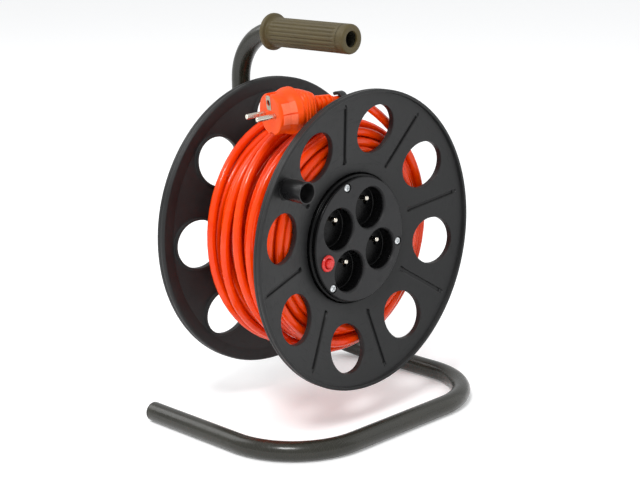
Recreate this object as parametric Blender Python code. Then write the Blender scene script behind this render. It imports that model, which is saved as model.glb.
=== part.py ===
"""Extension cord reel: a bent tube stand, a drum that turns on a stub axle, four sockets and a wound cable.

Metres, +Z up. The stand rests on z = 0 and the drum's axis runs along Y, at x = 0 and z = AXLE_HEIGHT.
Distances called "axial" are counted along Y from the middle of the drum, which is at y = DRUM_Y. The front
of the drum, with the sockets, faces -Y. Angles on the drum go from +X towards +Z, as seen from the front.
"""

import math

import bmesh
import bpy
from mathutils import Matrix, Vector

MM = 0.001
GAP = 0.3 * MM

# Stand: one bent steel tube
TUBE_OUTER_DIAMETER = 18.5 * MM
TUBE_WALL = 1.5 * MM
TUBE_SIDES = 12
AXLE_HEIGHT = 179.15 * MM
LEG_X = 139.0 * MM
LEG_END_AXIAL = 87.0 * MM
FRONT_RUN_AXIAL = -106.9 * MM
COLUMN_AXIAL = 104.7 * MM
FOOT_BEND_RADIUS = 75.0 * MM
REAR_BEND_RADIUS = 40.0 * MM
REAR_RUN_FROM_VERTICAL = math.radians(57.0)
COLUMN_BEND_RADIUS = 60.0 * MM
GRIP_BEND_RADIUS = 50.0 * MM
GRIP_HEIGHT = 186.8 * MM  # above the axle
GRIP_FRONT_AXIAL = -46.6 * MM
GRIP_REAR_AXIAL = 58.5 * MM
AXLE_BOLT_HOLE = 5.4 * MM

# Middle of the whole object along Y, from the drum's middle
FRONT_LIMIT = FRONT_RUN_AXIAL - TUBE_OUTER_DIAMETER / 2
REAR_LIMIT = 126.3 * MM
DRUM_Y = -(FRONT_LIMIT + REAR_LIMIT) / 2

# Drum
DRUM_STEPS = 36
WEB_AXIAL_AT_HOLES = 57.6 * MM
WEB_SLOPE = 0.222
WEB_THICKNESS = 3.0 * MM
HUB_EDGE_RADIUS = 62.5 * MM
HUB_CUP_RADIUS = 65.0 * MM
HOLE_CIRCLE_RADIUS = 104.8 * MM
HOLE_RADIUS = 23.25 * MM
COLLAR_WALL = 1.8 * MM
COLLAR_DEPTH = 6.0 * MM
HOLE_COUNT = 8
HOLE_STEPS = 14
FRONT_HOLES_START = 79.2
REAR_HOLES_START = 2.0
GROOVE_WIDTH = 2.3 * MM
GROOVE_DEPTH = 1.1 * MM
GROOVE_START_RADIUS = 76.0 * MM
GROOVE_END_RADIUS = 131.0 * MM
BARREL_RADIUS = 70.0 * MM
BARREL_HALF_LENGTH = 45.8 * MM
FLOOR_AXIAL = -22.0 * MM
FLOOR_THICKNESS = 3.0 * MM

# Socket panel, turned from upright by PANEL_UP degrees on the drum
PANEL_UP = 108.0
PANEL_SCREW_CIRCLE = 54.5 * MM
PANEL_SCREW_ANGLES = [PANEL_UP + 120 * k for k in range(3)]
SOCKET_CIRCLE_RADIUS = 31.6 * MM
SOCKET_ANGLES = [PANEL_UP - 45 + 90 * k for k in range(4)]
SOCKET_RADIUS = 20.0 * MM
PIN_RADIUS = 2.4 * MM
PIN_SPACING = 19.0 * MM
EARTH_OFFSET = 10.0 * MM
BUTTON_ANGLE = 198.0
BUTTON_CIRCLE_RADIUS = 47.0 * MM
CORE_SCREW_CIRCLE = 52.0 * MM
CORE_SCREW_ANGLES = [33 + 90 * k for k in range(4)]
GLAND_ANGLE = 288.0
GLAND_AXIAL = -34.0 * MM

# Axle and its bearing
AXLE_RADIUS = 8.0 * MM
STUD_RADIUS = 5.0 * MM
SLEEVE_RADIUS = 19.0 * MM
SLEEVE_BORE = 14.2 * MM
SLEEVE_INNER_AXIAL = 30.0 * MM
SLEEVE_OUTER_AXIAL = 72.0 * MM

# Knob on the front flange
KNOB_ANGLE = 147.2
KNOB_CIRCLE_RADIUS = 121.5 * MM
KNOB_RADIUS = 10.0 * MM
KNOB_END_AXIAL = -88.9 * MM
KNOB_BOSS_AXIAL = -64.2 * MM

# Cable, its tail and its plug
CABLE_RADIUS = 4.25 * MM
WINDING_INNER_RADIUS = 70.4 * MM
WINDING_OUTER_RADIUS = 105.0 * MM
WINDING_HALF_WIDTH = 45.5 * MM
# The tail's route on the drum: angle in degrees, radius and axial place in millimetres
TAIL_ROUTE = [
    (101.1, 135.6, -46.7),
    (98.2, 135.2, -48.4),
    (92.2, 133.0, -50.1),
    (85.0, 127.8, -49.4),
    (77.0, 121.9, -46.9),
    (68.5, 117.2, -44.6),
    (59.5, 113.6, -42.8),
    (50.0, 111.0, -41.4),
    (40.0, 109.75, -40.2),
    (30.0, 109.65, -39.0),
    (19.0, 109.65, -37.8),
    (8.0, 109.65, -36.6),
]
TAIL_POINTS = 18
PLUG_CORD_END = Vector((-26.1 * MM, -46.7 * MM, 133.1 * MM))
PLUG_FACE = Vector((-89.7 * MM, -30.5 * MM, 126.8 * MM))
PLUG_BODY_RADIUS = 19.0 * MM
PLUG_COLLAR_RADIUS = 21.4 * MM
PLUG_BODY_LENGTH = 41.5 * MM
RELIEF_RIBS = 4
RELIEF_PITCH = 5.0 * MM
PLUG_PIN_LENGTH = 19.0 * MM


def clear_scene():
    for old in list(bpy.data.objects):
        bpy.data.objects.remove(old, do_unlink=True)


def finish_of(name, colour, roughness, metallic=0.0):
    """A plain Principled BSDF material; colour is linear RGB."""
    material = bpy.data.materials.new(name)
    material.use_nodes = True
    shader = material.node_tree.nodes["Principled BSDF"]
    shader.inputs["Base Color"].default_value = (*colour, 1.0)
    shader.inputs["Roughness"].default_value = roughness
    shader.inputs["Metallic"].default_value = metallic
    return material


def make_empty(name, location):
    empty = bpy.data.objects.new(name, None)
    bpy.context.collection.objects.link(empty)
    empty.location = location
    return empty


def make_object(name, mesh_builder, material, parent=None, location=(0, 0, 0), matrix=None):
    """Closes a bmesh into an object, smooth but for its hard edges."""
    mesh_builder.normal_update()
    mesh = bpy.data.meshes.new(name)
    mesh_builder.to_mesh(mesh)
    mesh_builder.free()
    mesh.shade_smooth()
    mesh.set_sharp_from_angle(angle=math.radians(35))
    made = bpy.data.objects.new(name, mesh)
    bpy.context.collection.objects.link(made)
    made.parent = parent
    made.matrix_basis = Matrix.Translation(location) if matrix is None else matrix
    if material:
        made.data.materials.append(material)
    return made


def at_angle(angle, radius, axial=0.0):
    """A point on the drum, from its angle in degrees, its radius and its axial place."""
    turned = math.radians(angle)
    return Vector((radius * math.cos(turned), axial, radius * math.sin(turned)))


def web_axial(radius):
    """How far out the web's outer face stands at this radius: the web is a shallow cone."""
    return WEB_AXIAL_AT_HOLES + WEB_SLOPE * (radius - HOLE_CIRCLE_RADIUS)


def turned(profile, steps, closed=True):
    """A bmesh turned about the Y axis from (radius, axial) points, given in millimetres.

    A closed profile is a ring; an open one starts and ends on the axis.
    """
    built = bmesh.new()
    corners = [built.verts.new((0.0, axial * MM, radius * MM)) for radius, axial in profile]
    pairs = list(zip(corners, corners[1:]))
    if closed:
        pairs.append((corners[-1], corners[0]))
    edges = [built.edges.new(pair) for pair in pairs]
    bmesh.ops.spin(
        built,
        geom=corners + edges,
        axis=(0, 1, 0),
        cent=(0, 0, 0),
        angle=2 * math.pi,
        steps=steps,
        use_merge=True,
        use_duplicate=False,
    )
    bmesh.ops.remove_doubles(built, verts=built.verts, dist=1e-7)
    bmesh.ops.recalc_face_normals(built, faces=built.faces)
    return built


def add_cylinder(built, centre, axis, length, radius, sides, end_radius=None):
    """Adds a closed cylinder or cone, from centre along axis."""
    direction = Vector(axis).normalized()
    placed = (
        Matrix.Translation(Vector(centre) + direction * length / 2)
        @ direction.to_track_quat("Z", "Y").to_matrix().to_4x4()
    )
    bmesh.ops.create_cone(
        built,
        cap_ends=True,
        segments=sides,
        radius1=radius,
        radius2=radius if end_radius is None else end_radius,
        depth=length,
        matrix=placed,
    )


def add_box(built, low, high, matrix=None):
    """Adds a closed box between two corners, moved by the matrix."""
    low, high = Vector(low), Vector(high)
    size = high - low
    placed = Matrix.Translation((low + high) / 2) @ Matrix.Diagonal((*size, 1.0))
    bmesh.ops.create_cube(built, size=1.0, matrix=(matrix or Matrix()) @ placed)


def combine(host, tool_mesh, operation):
    """Cuts or joins the host with a helper mesh, which stays out of the finished object."""
    label = f"{host.name}_{operation.lower()}_{len(host.modifiers)}"
    helper = make_object(label, tool_mesh, None, host.parent)
    helper.matrix_basis = host.matrix_basis
    helper.hide_render = True
    helper.display_type = "WIRE"
    modifier = host.modifiers.new(operation.title(), "BOOLEAN")
    modifier.operation = operation
    modifier.object = helper
    modifier.solver = "EXACT"


# ---------------------------------------------------------------- stand


class BentTube:
    """The skin of a tube, extruded along straights and spun round bends from a first ring of edges."""

    def __init__(self, start, direction, across):
        self.built = bmesh.new()
        self.place = Vector(start)
        self.direction = Vector(direction)
        sideways = self.direction.cross(Vector(across))
        corner_radius = TUBE_OUTER_DIAMETER / 2 / math.cos(math.pi / TUBE_SIDES)
        ring = []
        for side in range(TUBE_SIDES):
            turn = 2 * math.pi * (side + 0.5) / TUBE_SIDES
            offset = Vector(across) * math.cos(turn) + sideways * math.sin(turn)
            ring.append(self.built.verts.new(self.place + offset * corner_radius))
        self.end = [self.built.edges.new((ring[k - 1], ring[k])) for k in range(TUBE_SIDES)]

    def straight(self, length):
        grown = bmesh.ops.extrude_edge_only(self.built, edges=self.end)["geom"]
        moved = [item for item in grown if isinstance(item, bmesh.types.BMVert)]
        bmesh.ops.translate(self.built, verts=moved, vec=self.direction * length)
        self.end = [item for item in grown if isinstance(item, bmesh.types.BMEdge)]
        self.place += self.direction * length

    def bend(self, towards, angle, radius, steps):
        """Turns the tube by angle in the plane of its direction and the direction it bends towards."""
        inward = Vector(towards)
        centre = self.place + inward * radius
        axis = self.direction.cross(inward)
        rings = set(vert for edge in self.end for vert in edge.verts)
        spun = bmesh.ops.spin(
            self.built,
            geom=list(rings) + self.end,
            axis=axis,
            cent=centre,
            angle=angle,
            steps=steps,
            use_duplicate=False,
        )["geom_last"]
        self.end = [item for item in spun if isinstance(item, bmesh.types.BMEdge)]
        turn = Matrix.Rotation(angle, 3, axis)
        self.place = centre + turn @ (self.place - centre)
        self.direction = turn @ self.direction


def make_frame_tube(material):
    foot_height = TUBE_OUTER_DIAMETER / 2
    right_angle = math.pi / 2
    tube = BentTube((-LEG_X, DRUM_Y + LEG_END_AXIAL, foot_height), (0, -1, 0), (0, 0, 1))
    tube.straight(LEG_END_AXIAL - FRONT_RUN_AXIAL - FOOT_BEND_RADIUS)
    tube.bend((1, 0, 0), right_angle, FOOT_BEND_RADIUS, 7)
    tube.straight(2 * (LEG_X - FOOT_BEND_RADIUS))
    tube.bend((0, 1, 0), right_angle, FOOT_BEND_RADIUS, 7)
    tube.straight(COLUMN_AXIAL - REAR_BEND_RADIUS - FRONT_RUN_AXIAL - FOOT_BEND_RADIUS)
    rising = Vector((-math.sin(REAR_RUN_FROM_VERTICAL), 0, math.cos(REAR_RUN_FROM_VERTICAL)))
    tube.bend(rising, right_angle, REAR_BEND_RADIUS, 6)
    tangent = COLUMN_BEND_RADIUS * math.tan(REAR_RUN_FROM_VERTICAL / 2)
    tube.straight(tube.place.x / math.sin(REAR_RUN_FROM_VERTICAL) - tangent)
    into_column = Vector((math.cos(REAR_RUN_FROM_VERTICAL), 0, math.sin(REAR_RUN_FROM_VERTICAL)))
    tube.bend(into_column, REAR_RUN_FROM_VERTICAL, COLUMN_BEND_RADIUS, 4)
    tube.straight(AXLE_HEIGHT + GRIP_HEIGHT - GRIP_BEND_RADIUS - tube.place.z)
    tube.bend((0, -1, 0), right_angle, GRIP_BEND_RADIUS, 6)
    tube.straight(COLUMN_AXIAL - GRIP_BEND_RADIUS - GRIP_FRONT_AXIAL - 3.6 * MM)
    bmesh.ops.recalc_face_normals(tube.built, faces=tube.built.faces)
    made = make_object("frame_tube", tube.built, material)
    wall = made.modifiers.new("Wall", "SOLIDIFY")
    wall.thickness = TUBE_WALL
    wall.offset = -1.0
    hole = bmesh.new()
    start = (0, DRUM_Y + COLUMN_AXIAL - TUBE_OUTER_DIAMETER, AXLE_HEIGHT)
    add_cylinder(hole, start, (0, 1, 0), 2 * TUBE_OUTER_DIAMETER, AXLE_BOLT_HOLE, 16)
    combine(made, hole, "DIFFERENCE")
    return made


def make_foot_end_cap(material):
    profile = [(0, 0.3), (9.0, 0.3), (9.2, 0.6), (9.2, 1.9), (8.3, 2.9), (0, 2.9)]
    cap = turned(profile, 16, closed=False)
    place = Vector((-LEG_X, DRUM_Y + LEG_END_AXIAL, TUBE_OUTER_DIAMETER / 2))
    made = make_object("foot_end_cap", cap, material, location=place)
    plug = bmesh.new()
    add_cylinder(plug, (0, 0.6 * MM, 0), (0, -1, 0), 12 * MM, 7.3 * MM, 16, end_radius=6.8 * MM)
    combine(made, plug, "UNION")
    return made


def make_handle_grip(material):
    front, rear = GRIP_FRONT_AXIAL / MM, GRIP_REAR_AXIAL / MM
    bore, mouth = 9.9, 10.3
    profile = [
        (7.5, front),
        (13.2, front),
        (14.0, front + 0.9),
        (14.0, rear - 4.2),
        (17.2, rear - 4.0),
        (17.8, rear - 3.2),
        (17.8, rear - 0.8),
        (17.2, rear),
        (mouth, rear),
        (bore, rear - 5.0),
        (bore, front + 3.3),
        (7.5, front + 3.3),
    ]
    grip = turned(profile, 24)
    return make_object("handle_grip", grip, material, location=(0, DRUM_Y, AXLE_HEIGHT + GRIP_HEIGHT))


def make_axle_parts(steel, nylon, zinc):
    """The stub axle, what clamps it to the column and what keeps the drum on it. None of these turns."""
    at_axis = (0, DRUM_Y, AXLE_HEIGHT)
    axle, stud, end = AXLE_RADIUS / MM, STUD_RADIUS / MM, REAR_LIMIT / MM
    profile = [
        (0, 23.0),
        (axle - 1, 23.0),
        (axle, 24.0),
        (axle, 25.9),
        (6.6, 25.9),
        (6.6, 27.9),
        (axle, 27.9),
        (axle, 94.3),
        (stud, 94.3),
        (stud, end - 0.8),
        (stud - 0.8, end),
        (0, end),
    ]
    make_object("axle", turned(profile, 20, closed=False), steel, location=at_axis)
    ring = [(6.95, 26.2), (11.5, 26.2), (11.5, 27.6), (6.95, 27.6)]
    make_object("retaining_ring", turned(ring, 20), steel, location=at_axis)
    washer = [(8.4, 74.3), (17.5, 74.3), (17.5, 75.8), (8.4, 75.8)]
    make_object("thrust_washer", turned(washer, 20), nylon, location=at_axis)
    spacer = [(8.4, 76.1), (14.2, 76.1), (15.0, 76.9), (15.0, 101.0), (8.4, 101.0)]
    saddle = make_object("saddle_spacer", turned(spacer, 20), nylon, location=at_axis)
    seat = bmesh.new()
    add_cylinder(seat, (0, COLUMN_AXIAL, -25 * MM), (0, 0, 1), 50 * MM, 10.0 * MM, 24)
    combine(saddle, seat, "DIFFERENCE")
    washer = [(5.4, 114.5), (10.0, 114.5), (10.0, 116.0), (5.4, 116.0)]
    make_object("nut_washer", turned(washer, 24), zinc, location=at_axis)
    nut = bmesh.new()
    add_cylinder(nut, (0, 116.3 * MM, 0), (0, 1, 0), 8 * MM, 9.8 * MM, 6)
    made = make_object("axle_nut", nut, zinc, location=at_axis)
    thread = bmesh.new()
    add_cylinder(thread, (0, 115 * MM, 0), (0, 1, 0), 12 * MM, 5.35 * MM, 16)
    combine(made, thread, "DIFFERENCE")


# ---------------------------------------------------------------- drum


def flange_profile(side, face_radius, back_radius):
    """The rim, the web's cone and its inner face, as (radius, axial) from the hub's edge to the hub again."""
    wall = WEB_THICKNESS / MM
    outside = [
        (face_radius / MM, web_axial(face_radius) / MM),
        (139.4, web_axial(139.4 * MM) / MM),
        (139.6, 68.4),
        (140.1, 68.9),
        (141.7, 68.9),
        (142.5, 68.1),
        (142.5, 62.9),
        (141.2, 61.2),
        (140.4, 61.0),
        (130.0, 61.0),
        (129.6, web_axial(129.6 * MM) / MM - wall),
        (back_radius / MM, web_axial(back_radius) / MM - wall),
    ]
    return [(radius, side * axial) for radius, axial in outside]


def hole_collars(side, start_angle):
    """Short walls round the web's holes: tubes whose lower end follows the slope of the web."""
    built = bmesh.new()
    for k in range(HOLE_COUNT):
        centre = at_angle(start_angle + 360 / HOLE_COUNT * k, HOLE_CIRCLE_RADIUS)
        rings = []
        for below in (COLLAR_DEPTH, WEB_THICKNESS * 0.7):
            ring = []
            for step in range(HOLE_STEPS):
                turn = 2 * math.pi * step / HOLE_STEPS
                reach = HOLE_RADIUS + COLLAR_WALL
                place = centre + Vector((math.cos(turn), 0, math.sin(turn))) * reach
                place.y = side * (web_axial(place.length) - below)
                ring.append(built.verts.new(place))
            rings.append(ring)
            built.faces.new(ring)
        edges = [edge for edge in built.edges if edge.is_boundary]
        bmesh.ops.bridge_loops(built, edges=edges)
    bmesh.ops.recalc_face_normals(built, faces=built.faces)
    return built


def hole_cutters(start_angle, side):
    built = bmesh.new()
    for k in range(HOLE_COUNT):
        centre = at_angle(start_angle + 360 / HOLE_COUNT * k, HOLE_CIRCLE_RADIUS, side * 40 * MM)
        add_cylinder(built, centre, (0, side, 0), 35 * MM, HOLE_RADIUS, HOLE_STEPS)
    return built


def groove_cutters(start_angle, side):
    """Shallow radial grooves midway between the holes, tilted with the web."""
    built = bmesh.new()
    middle = (GROOVE_START_RADIUS + GROOVE_END_RADIUS) / 2
    half = (GROOVE_END_RADIUS - GROOVE_START_RADIUS) / 2
    for k in range(HOLE_COUNT):
        angle = start_angle + 360 / HOLE_COUNT * (k + 0.5)
        tilt = Matrix.Rotation(side * math.atan(WEB_SLOPE), 4, "Z")
        turn = Matrix.Rotation(-math.radians(angle), 4, "Y")
        placed = turn @ Matrix.Translation((middle, side * web_axial(middle), 0)) @ tilt
        add_box(
            built,
            (-half, -GROOVE_DEPTH, -GROOVE_WIDTH / 2),
            (half, GROOVE_DEPTH, GROOVE_WIDTH / 2),
            placed,
        )
    return built


def make_front_flange(drum, material):
    """The front flange: a ring round the hub cup, with the boss of the winding knob."""
    inner = HUB_CUP_RADIUS + GAP
    made = make_object("front_flange", turned(flange_profile(-1, inner, inner), DRUM_STEPS), material, drum)
    combine(made, hole_collars(-1, FRONT_HOLES_START), "UNION")
    boss = bmesh.new()
    foot = at_angle(KNOB_ANGLE, KNOB_CIRCLE_RADIUS, -59.5 * MM)
    add_cylinder(boss, foot, (0, -1, 0), 4.7 * MM, 9.5 * MM, 20)
    combine(made, boss, "UNION")
    holes = hole_cutters(FRONT_HOLES_START, -1)
    blind_end = at_angle(KNOB_ANGLE, KNOB_CIRCLE_RADIUS, -60.3 * MM)
    add_cylinder(holes, blind_end, (0, -1, 0), 6 * MM, 4.2 * MM, 14)
    combine(made, holes, "DIFFERENCE")
    combine(made, groove_cutters(FRONT_HOLES_START, -1), "DIFFERENCE")
    return made


def make_hub_cup(drum, material):
    """The cup in the middle of the front: its floor carries the posts of the panel and of the barrel."""
    floor = -FLOOR_AXIAL / MM
    shelf = floor - FLOOR_THICKNESS / MM
    skirt, edge = HUB_CUP_RADIUS / MM, HUB_EDGE_RADIUS / MM
    profile = [
        (0, -shelf),
        (skirt, -shelf),
        (skirt, -web_axial(HUB_CUP_RADIUS) / MM),
        (edge, -web_axial(HUB_EDGE_RADIUS) / MM),
        (edge, -floor),
        (0, -floor),
    ]
    made = make_object("hub_cup", turned(profile, DRUM_STEPS, closed=False), material, drum)
    posts = bmesh.new()
    for angle in PANEL_SCREW_ANGLES:
        start = at_angle(angle, PANEL_SCREW_CIRCLE, FLOOR_AXIAL + MM)
        add_cylinder(posts, start, (0, -1, 0), 30 * MM, 2.85 * MM, 8)
    for angle in CORE_SCREW_ANGLES:
        start = at_angle(angle, CORE_SCREW_CIRCLE, FLOOR_AXIAL + 2 * MM)
        add_cylinder(posts, start, (0, 1, 0), 64.8 * MM, 5.0 * MM, 8)
    combine(made, posts, "UNION")
    holes = bmesh.new()
    for angle in PANEL_SCREW_ANGLES:
        add_cylinder(holes, at_angle(angle, PANEL_SCREW_CIRCLE, -36 * MM), (0, -1, 0), 20 * MM, 1.85 * MM, 8)
    for angle in CORE_SCREW_ANGLES:
        add_cylinder(holes, at_angle(angle, CORE_SCREW_CIRCLE, 12 * MM), (0, 1, 0), 40 * MM, 2.4 * MM, 8)
    outward = at_angle(GLAND_ANGLE, 1.0)
    add_cylinder(holes, at_angle(GLAND_ANGLE, 55 * MM, GLAND_AXIAL), outward, 14 * MM, 6.5 * MM, 16)
    combine(made, holes, "DIFFERENCE")
    return made


def make_rear_flange(drum, material):
    wall = WEB_THICKNESS / MM
    dish = web_axial(HUB_EDGE_RADIUS) / MM
    bore, sleeve = SLEEVE_BORE / MM, SLEEVE_RADIUS / MM
    inner, outer = SLEEVE_INNER_AXIAL / MM, SLEEVE_OUTER_AXIAL / MM
    hub = [(sleeve, dish - wall), (sleeve, inner), (bore, inner)]
    hub += [(bore, outer), (sleeve, outer), (sleeve, dish)]
    profile = flange_profile(1, HUB_EDGE_RADIUS, HUB_CUP_RADIUS) + hub
    made = make_object("rear_flange", turned(profile, DRUM_STEPS), material, drum)
    combine(made, hole_collars(1, REAR_HOLES_START), "UNION")
    holes = hole_cutters(REAR_HOLES_START, 1)
    for angle in CORE_SCREW_ANGLES:
        add_cylinder(holes, at_angle(angle, CORE_SCREW_CIRCLE, 40 * MM), (0, 1, 0), 12 * MM, 2.6 * MM, 8)
    combine(made, holes, "DIFFERENCE")
    combine(made, groove_cutters(REAR_HOLES_START, 1), "DIFFERENCE")
    return made


def make_core_barrel(drum, material):
    outer, half = BARREL_RADIUS / MM, BARREL_HALF_LENGTH / MM
    profile = [(outer - 3, -half), (outer, -half), (outer, half), (outer - 3, half)]
    made = make_object("core_barrel", turned(profile, DRUM_STEPS), material, drum)
    passage = bmesh.new()
    start = at_angle(GLAND_ANGLE, 64 * MM, GLAND_AXIAL)
    add_cylinder(passage, start, at_angle(GLAND_ANGLE, 1.0), 10 * MM, 6.5 * MM, 16)
    combine(made, passage, "DIFFERENCE")


def make_bushes(drum, material):
    bore, outer, flange = 8.4, 13.85, 18.0
    rear = [(bore, 56), (outer, 56), (outer, 72.3), (flange, 72.3), (flange, 74.0), (bore, 74.0)]
    inner = [(bore, 28), (flange, 28), (flange, 29.7), (outer, 29.7), (outer, 44), (bore, 44)]
    make_object("rear_bush", turned(rear, 20), material, drum)
    make_object("inner_bush", turned(inner, 20), material, drum)


def make_screw(name, drum, place, direction, head, shank, material):
    """A pan head with a cross recess and a plain shank; head and shank are (radius, length)."""
    made = bmesh.new()
    add_cylinder(made, place, direction, head[1], head[0], 14, end_radius=head[0] * 0.86)
    made = make_object(name, made, material, drum)
    body = bmesh.new()
    add_cylinder(body, place + direction * 0.3 * MM, -direction, shank[1] + 0.3 * MM, shank[0], 10)
    combine(made, body, "UNION")
    slots = bmesh.new()
    turn = direction.to_track_quat("Z", "Y").to_matrix().to_4x4()
    top = Matrix.Translation(place + direction * head[1]) @ turn
    long, half = head[0] * 0.55, head[0] * 0.13
    add_box(slots, (-long, -half, -0.8 * MM), (long, half, MM), top)
    combine(made, slots, "DIFFERENCE")
    slots = bmesh.new()
    add_box(slots, (-half, -long, -0.8 * MM), (half, long, MM), top)
    combine(made, slots, "DIFFERENCE")


def make_screws(drum, material):
    outward = Vector((0, -1, 0))
    for k, angle in enumerate(PANEL_SCREW_ANGLES, 1):
        place = at_angle(angle, PANEL_SCREW_CIRCLE, -54.9 * MM)
        head, shank = (3.5 * MM, 1.6 * MM), (1.5 * MM, 16 * MM)
        make_screw(f"panel_screw_{k}", drum, place, outward, head, shank, material)
    for k, angle in enumerate(CORE_SCREW_ANGLES, 1):
        place = at_angle(angle, CORE_SCREW_CIRCLE, 48.55 * MM)
        head, shank = (4.5 * MM, 2.6 * MM), (2.0 * MM, 34 * MM)
        make_screw(f"core_screw_{k}", drum, place, -outward, head, shank, material)


# ---------------------------------------------------------------- socket panel


def panel_matrix(axial):
    return Matrix.Translation((0, axial, 0)) @ Matrix.Rotation(-math.radians(PANEL_UP - 90), 4, "Y")


def make_socket_panel(drum, material):
    profile = [(0, -56.5), (59.3, -56.5), (60, -55.8), (60, -50.0), (61.5, -49.6), (61.5, -44.5)]
    profile += [(57.8, -44.5), (57.8, -54.0), (0, -54.0)]
    made = make_object("socket_panel", turned(profile, DRUM_STEPS, closed=False), material, drum)
    bosses = bmesh.new()
    for angle in PANEL_SCREW_ANGLES:
        start = at_angle(angle, PANEL_SCREW_CIRCLE - 0.2 * MM, -54.5 * MM)
        add_cylinder(bosses, start, (0, 1, 0), 2.3 * MM, 4.0 * MM, 10)
    combine(made, bosses, "UNION")
    holes = bmesh.new()
    for angle in SOCKET_ANGLES:
        start = at_angle(angle, SOCKET_CIRCLE_RADIUS, -60 * MM)
        add_cylinder(holes, start, (0, 1, 0), 9 * MM, SOCKET_RADIUS, 18)
    for angle in PANEL_SCREW_ANGLES:
        add_cylinder(holes, at_angle(angle, PANEL_SCREW_CIRCLE, -54.6 * MM), (0, -1, 0), 4 * MM, 4.2 * MM, 12)
    start = at_angle(BUTTON_ANGLE, BUTTON_CIRCLE_RADIUS, -60 * MM)
    add_cylinder(holes, start, (0, 1, 0), 9 * MM, 6.4 * MM, 16)
    combine(made, holes, "DIFFERENCE")
    passages = bmesh.new()
    for angle in PANEL_SCREW_ANGLES:
        add_cylinder(passages, at_angle(angle, PANEL_SCREW_CIRCLE, -50 * MM), (0, -1, 0), 8 * MM, 1.9 * MM, 8)
    combine(made, passages, "DIFFERENCE")


def make_sockets(drum, plastic, metal):
    cup = [(0, -41.5), (19.0, -41.5), (19.6, -42.1), (19.6, -53.7), (20.6, -53.7), (20.6, -39.5), (0, -39.5)]
    for k, angle in enumerate(SOCKET_ANGLES, 1):
        centre = at_angle(angle, SOCKET_CIRCLE_RADIUS)
        up, across = at_angle(PANEL_UP, 1.0), at_angle(PANEL_UP - 90, 1.0)
        made = make_object(f"socket_insert_{k}", turned(cup, 18, closed=False), plastic, drum, centre)
        holes = bmesh.new()
        for side in (-1, 1):
            start = across * side * PIN_SPACING / 2 + Vector((0, -46 * MM, 0))
            add_cylinder(holes, start, (0, 1, 0), 12 * MM, PIN_RADIUS + GAP, 10)
        add_cylinder(holes, up * EARTH_OFFSET + Vector((0, -46 * MM, 0)), (0, 1, 0), 12 * MM, 2.75 * MM, 10)
        combine(made, holes, "DIFFERENCE")
        pin = [(0, -55.5), (1.5, -55.2), (2.4, -53.6), (2.4, -30.8), (0, -30.8)]
        make_object(f"earth_pin_{k}", turned(pin, 8, closed=False), metal, drum, centre + up * EARTH_OFFSET)


def make_busbar(name, drum, axial, centres, holes, material, upright):
    """An H of sheet metal: two strips through the sockets' pin holes, joined across the middle.

    Upright strips run up the panel, the others across it.
    """
    thickness, width, half_length, half_cross = 1.0, 3.2, 26.5, 3.0
    left, right = centres
    outline = [(left - width, -half_length), (left + width, -half_length), (left + width, -half_cross)]
    outline += [(right - width, -half_cross), (right - width, -half_length), (right + width, -half_length)]
    outline += [(right + width, half_length), (right - width, half_length), (right - width, half_cross)]
    outline += [(left + width, half_cross), (left + width, half_length), (left - width, half_length)]
    made = bmesh.new()
    corners = []
    for across, along in outline:
        place = (across, 0, along) if upright else (along, 0, across)
        corners.append(made.verts.new(Vector(place) * MM))
    grown = bmesh.ops.extrude_face_region(made, geom=[made.faces.new(corners)])["geom"]
    moved = [item for item in grown if isinstance(item, bmesh.types.BMVert)]
    bmesh.ops.translate(made, verts=moved, vec=(0, thickness * MM, 0))
    bmesh.ops.recalc_face_normals(made, faces=made.faces)
    made = make_object(name, made, material, drum, matrix=panel_matrix(axial))
    passages = bmesh.new()
    for across, up, radius in holes:
        add_cylinder(passages, (across * MM, -MM, up * MM), (0, 1, 0), 4 * MM, radius * MM, 8)
    combine(made, passages, "DIFFERENCE")


def make_busbars(drum, copper):
    offset = SOCKET_CIRCLE_RADIUS / MM * math.cos(math.radians(45))
    reach = PIN_SPACING / MM / 2
    for name, axial, side in (("live_busbar", -36.5, 1), ("neutral_busbar", -33.5, -1)):
        columns = sorted((side * (offset + reach), -side * (offset - reach)))
        holes = [(x, z, 2.0) for x in columns for z in (-offset, offset)]
        make_busbar(name, drum, axial * MM, columns, holes, copper, upright=True)
    rows = (-offset + EARTH_OFFSET / MM, offset + EARTH_OFFSET / MM)
    holes = [(x, z, 1.6) for x in (-offset, offset) for z in rows]
    make_busbar("earth_busbar", drum, -30.5 * MM, rows, holes, copper, upright=False)


def make_terminal_block(drum, material):
    block = bmesh.new()
    add_box(block, (-16 * MM, 0, -46 * MM), (16 * MM, 14 * MM, -31 * MM))
    made = make_object("terminal_block", block, material, drum, matrix=panel_matrix(-38.9 * MM))
    edges = made.modifiers.new("Edges", "BEVEL")
    edges.width = 0.8 * MM
    wells = bmesh.new()
    for across in (-10, 0, 10):
        add_cylinder(wells, (across * MM, -MM, -38.5 * MM), (0, 1, 0), 9 * MM, 2.6 * MM, 12)
    combine(made, wells, "DIFFERENCE")


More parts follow.
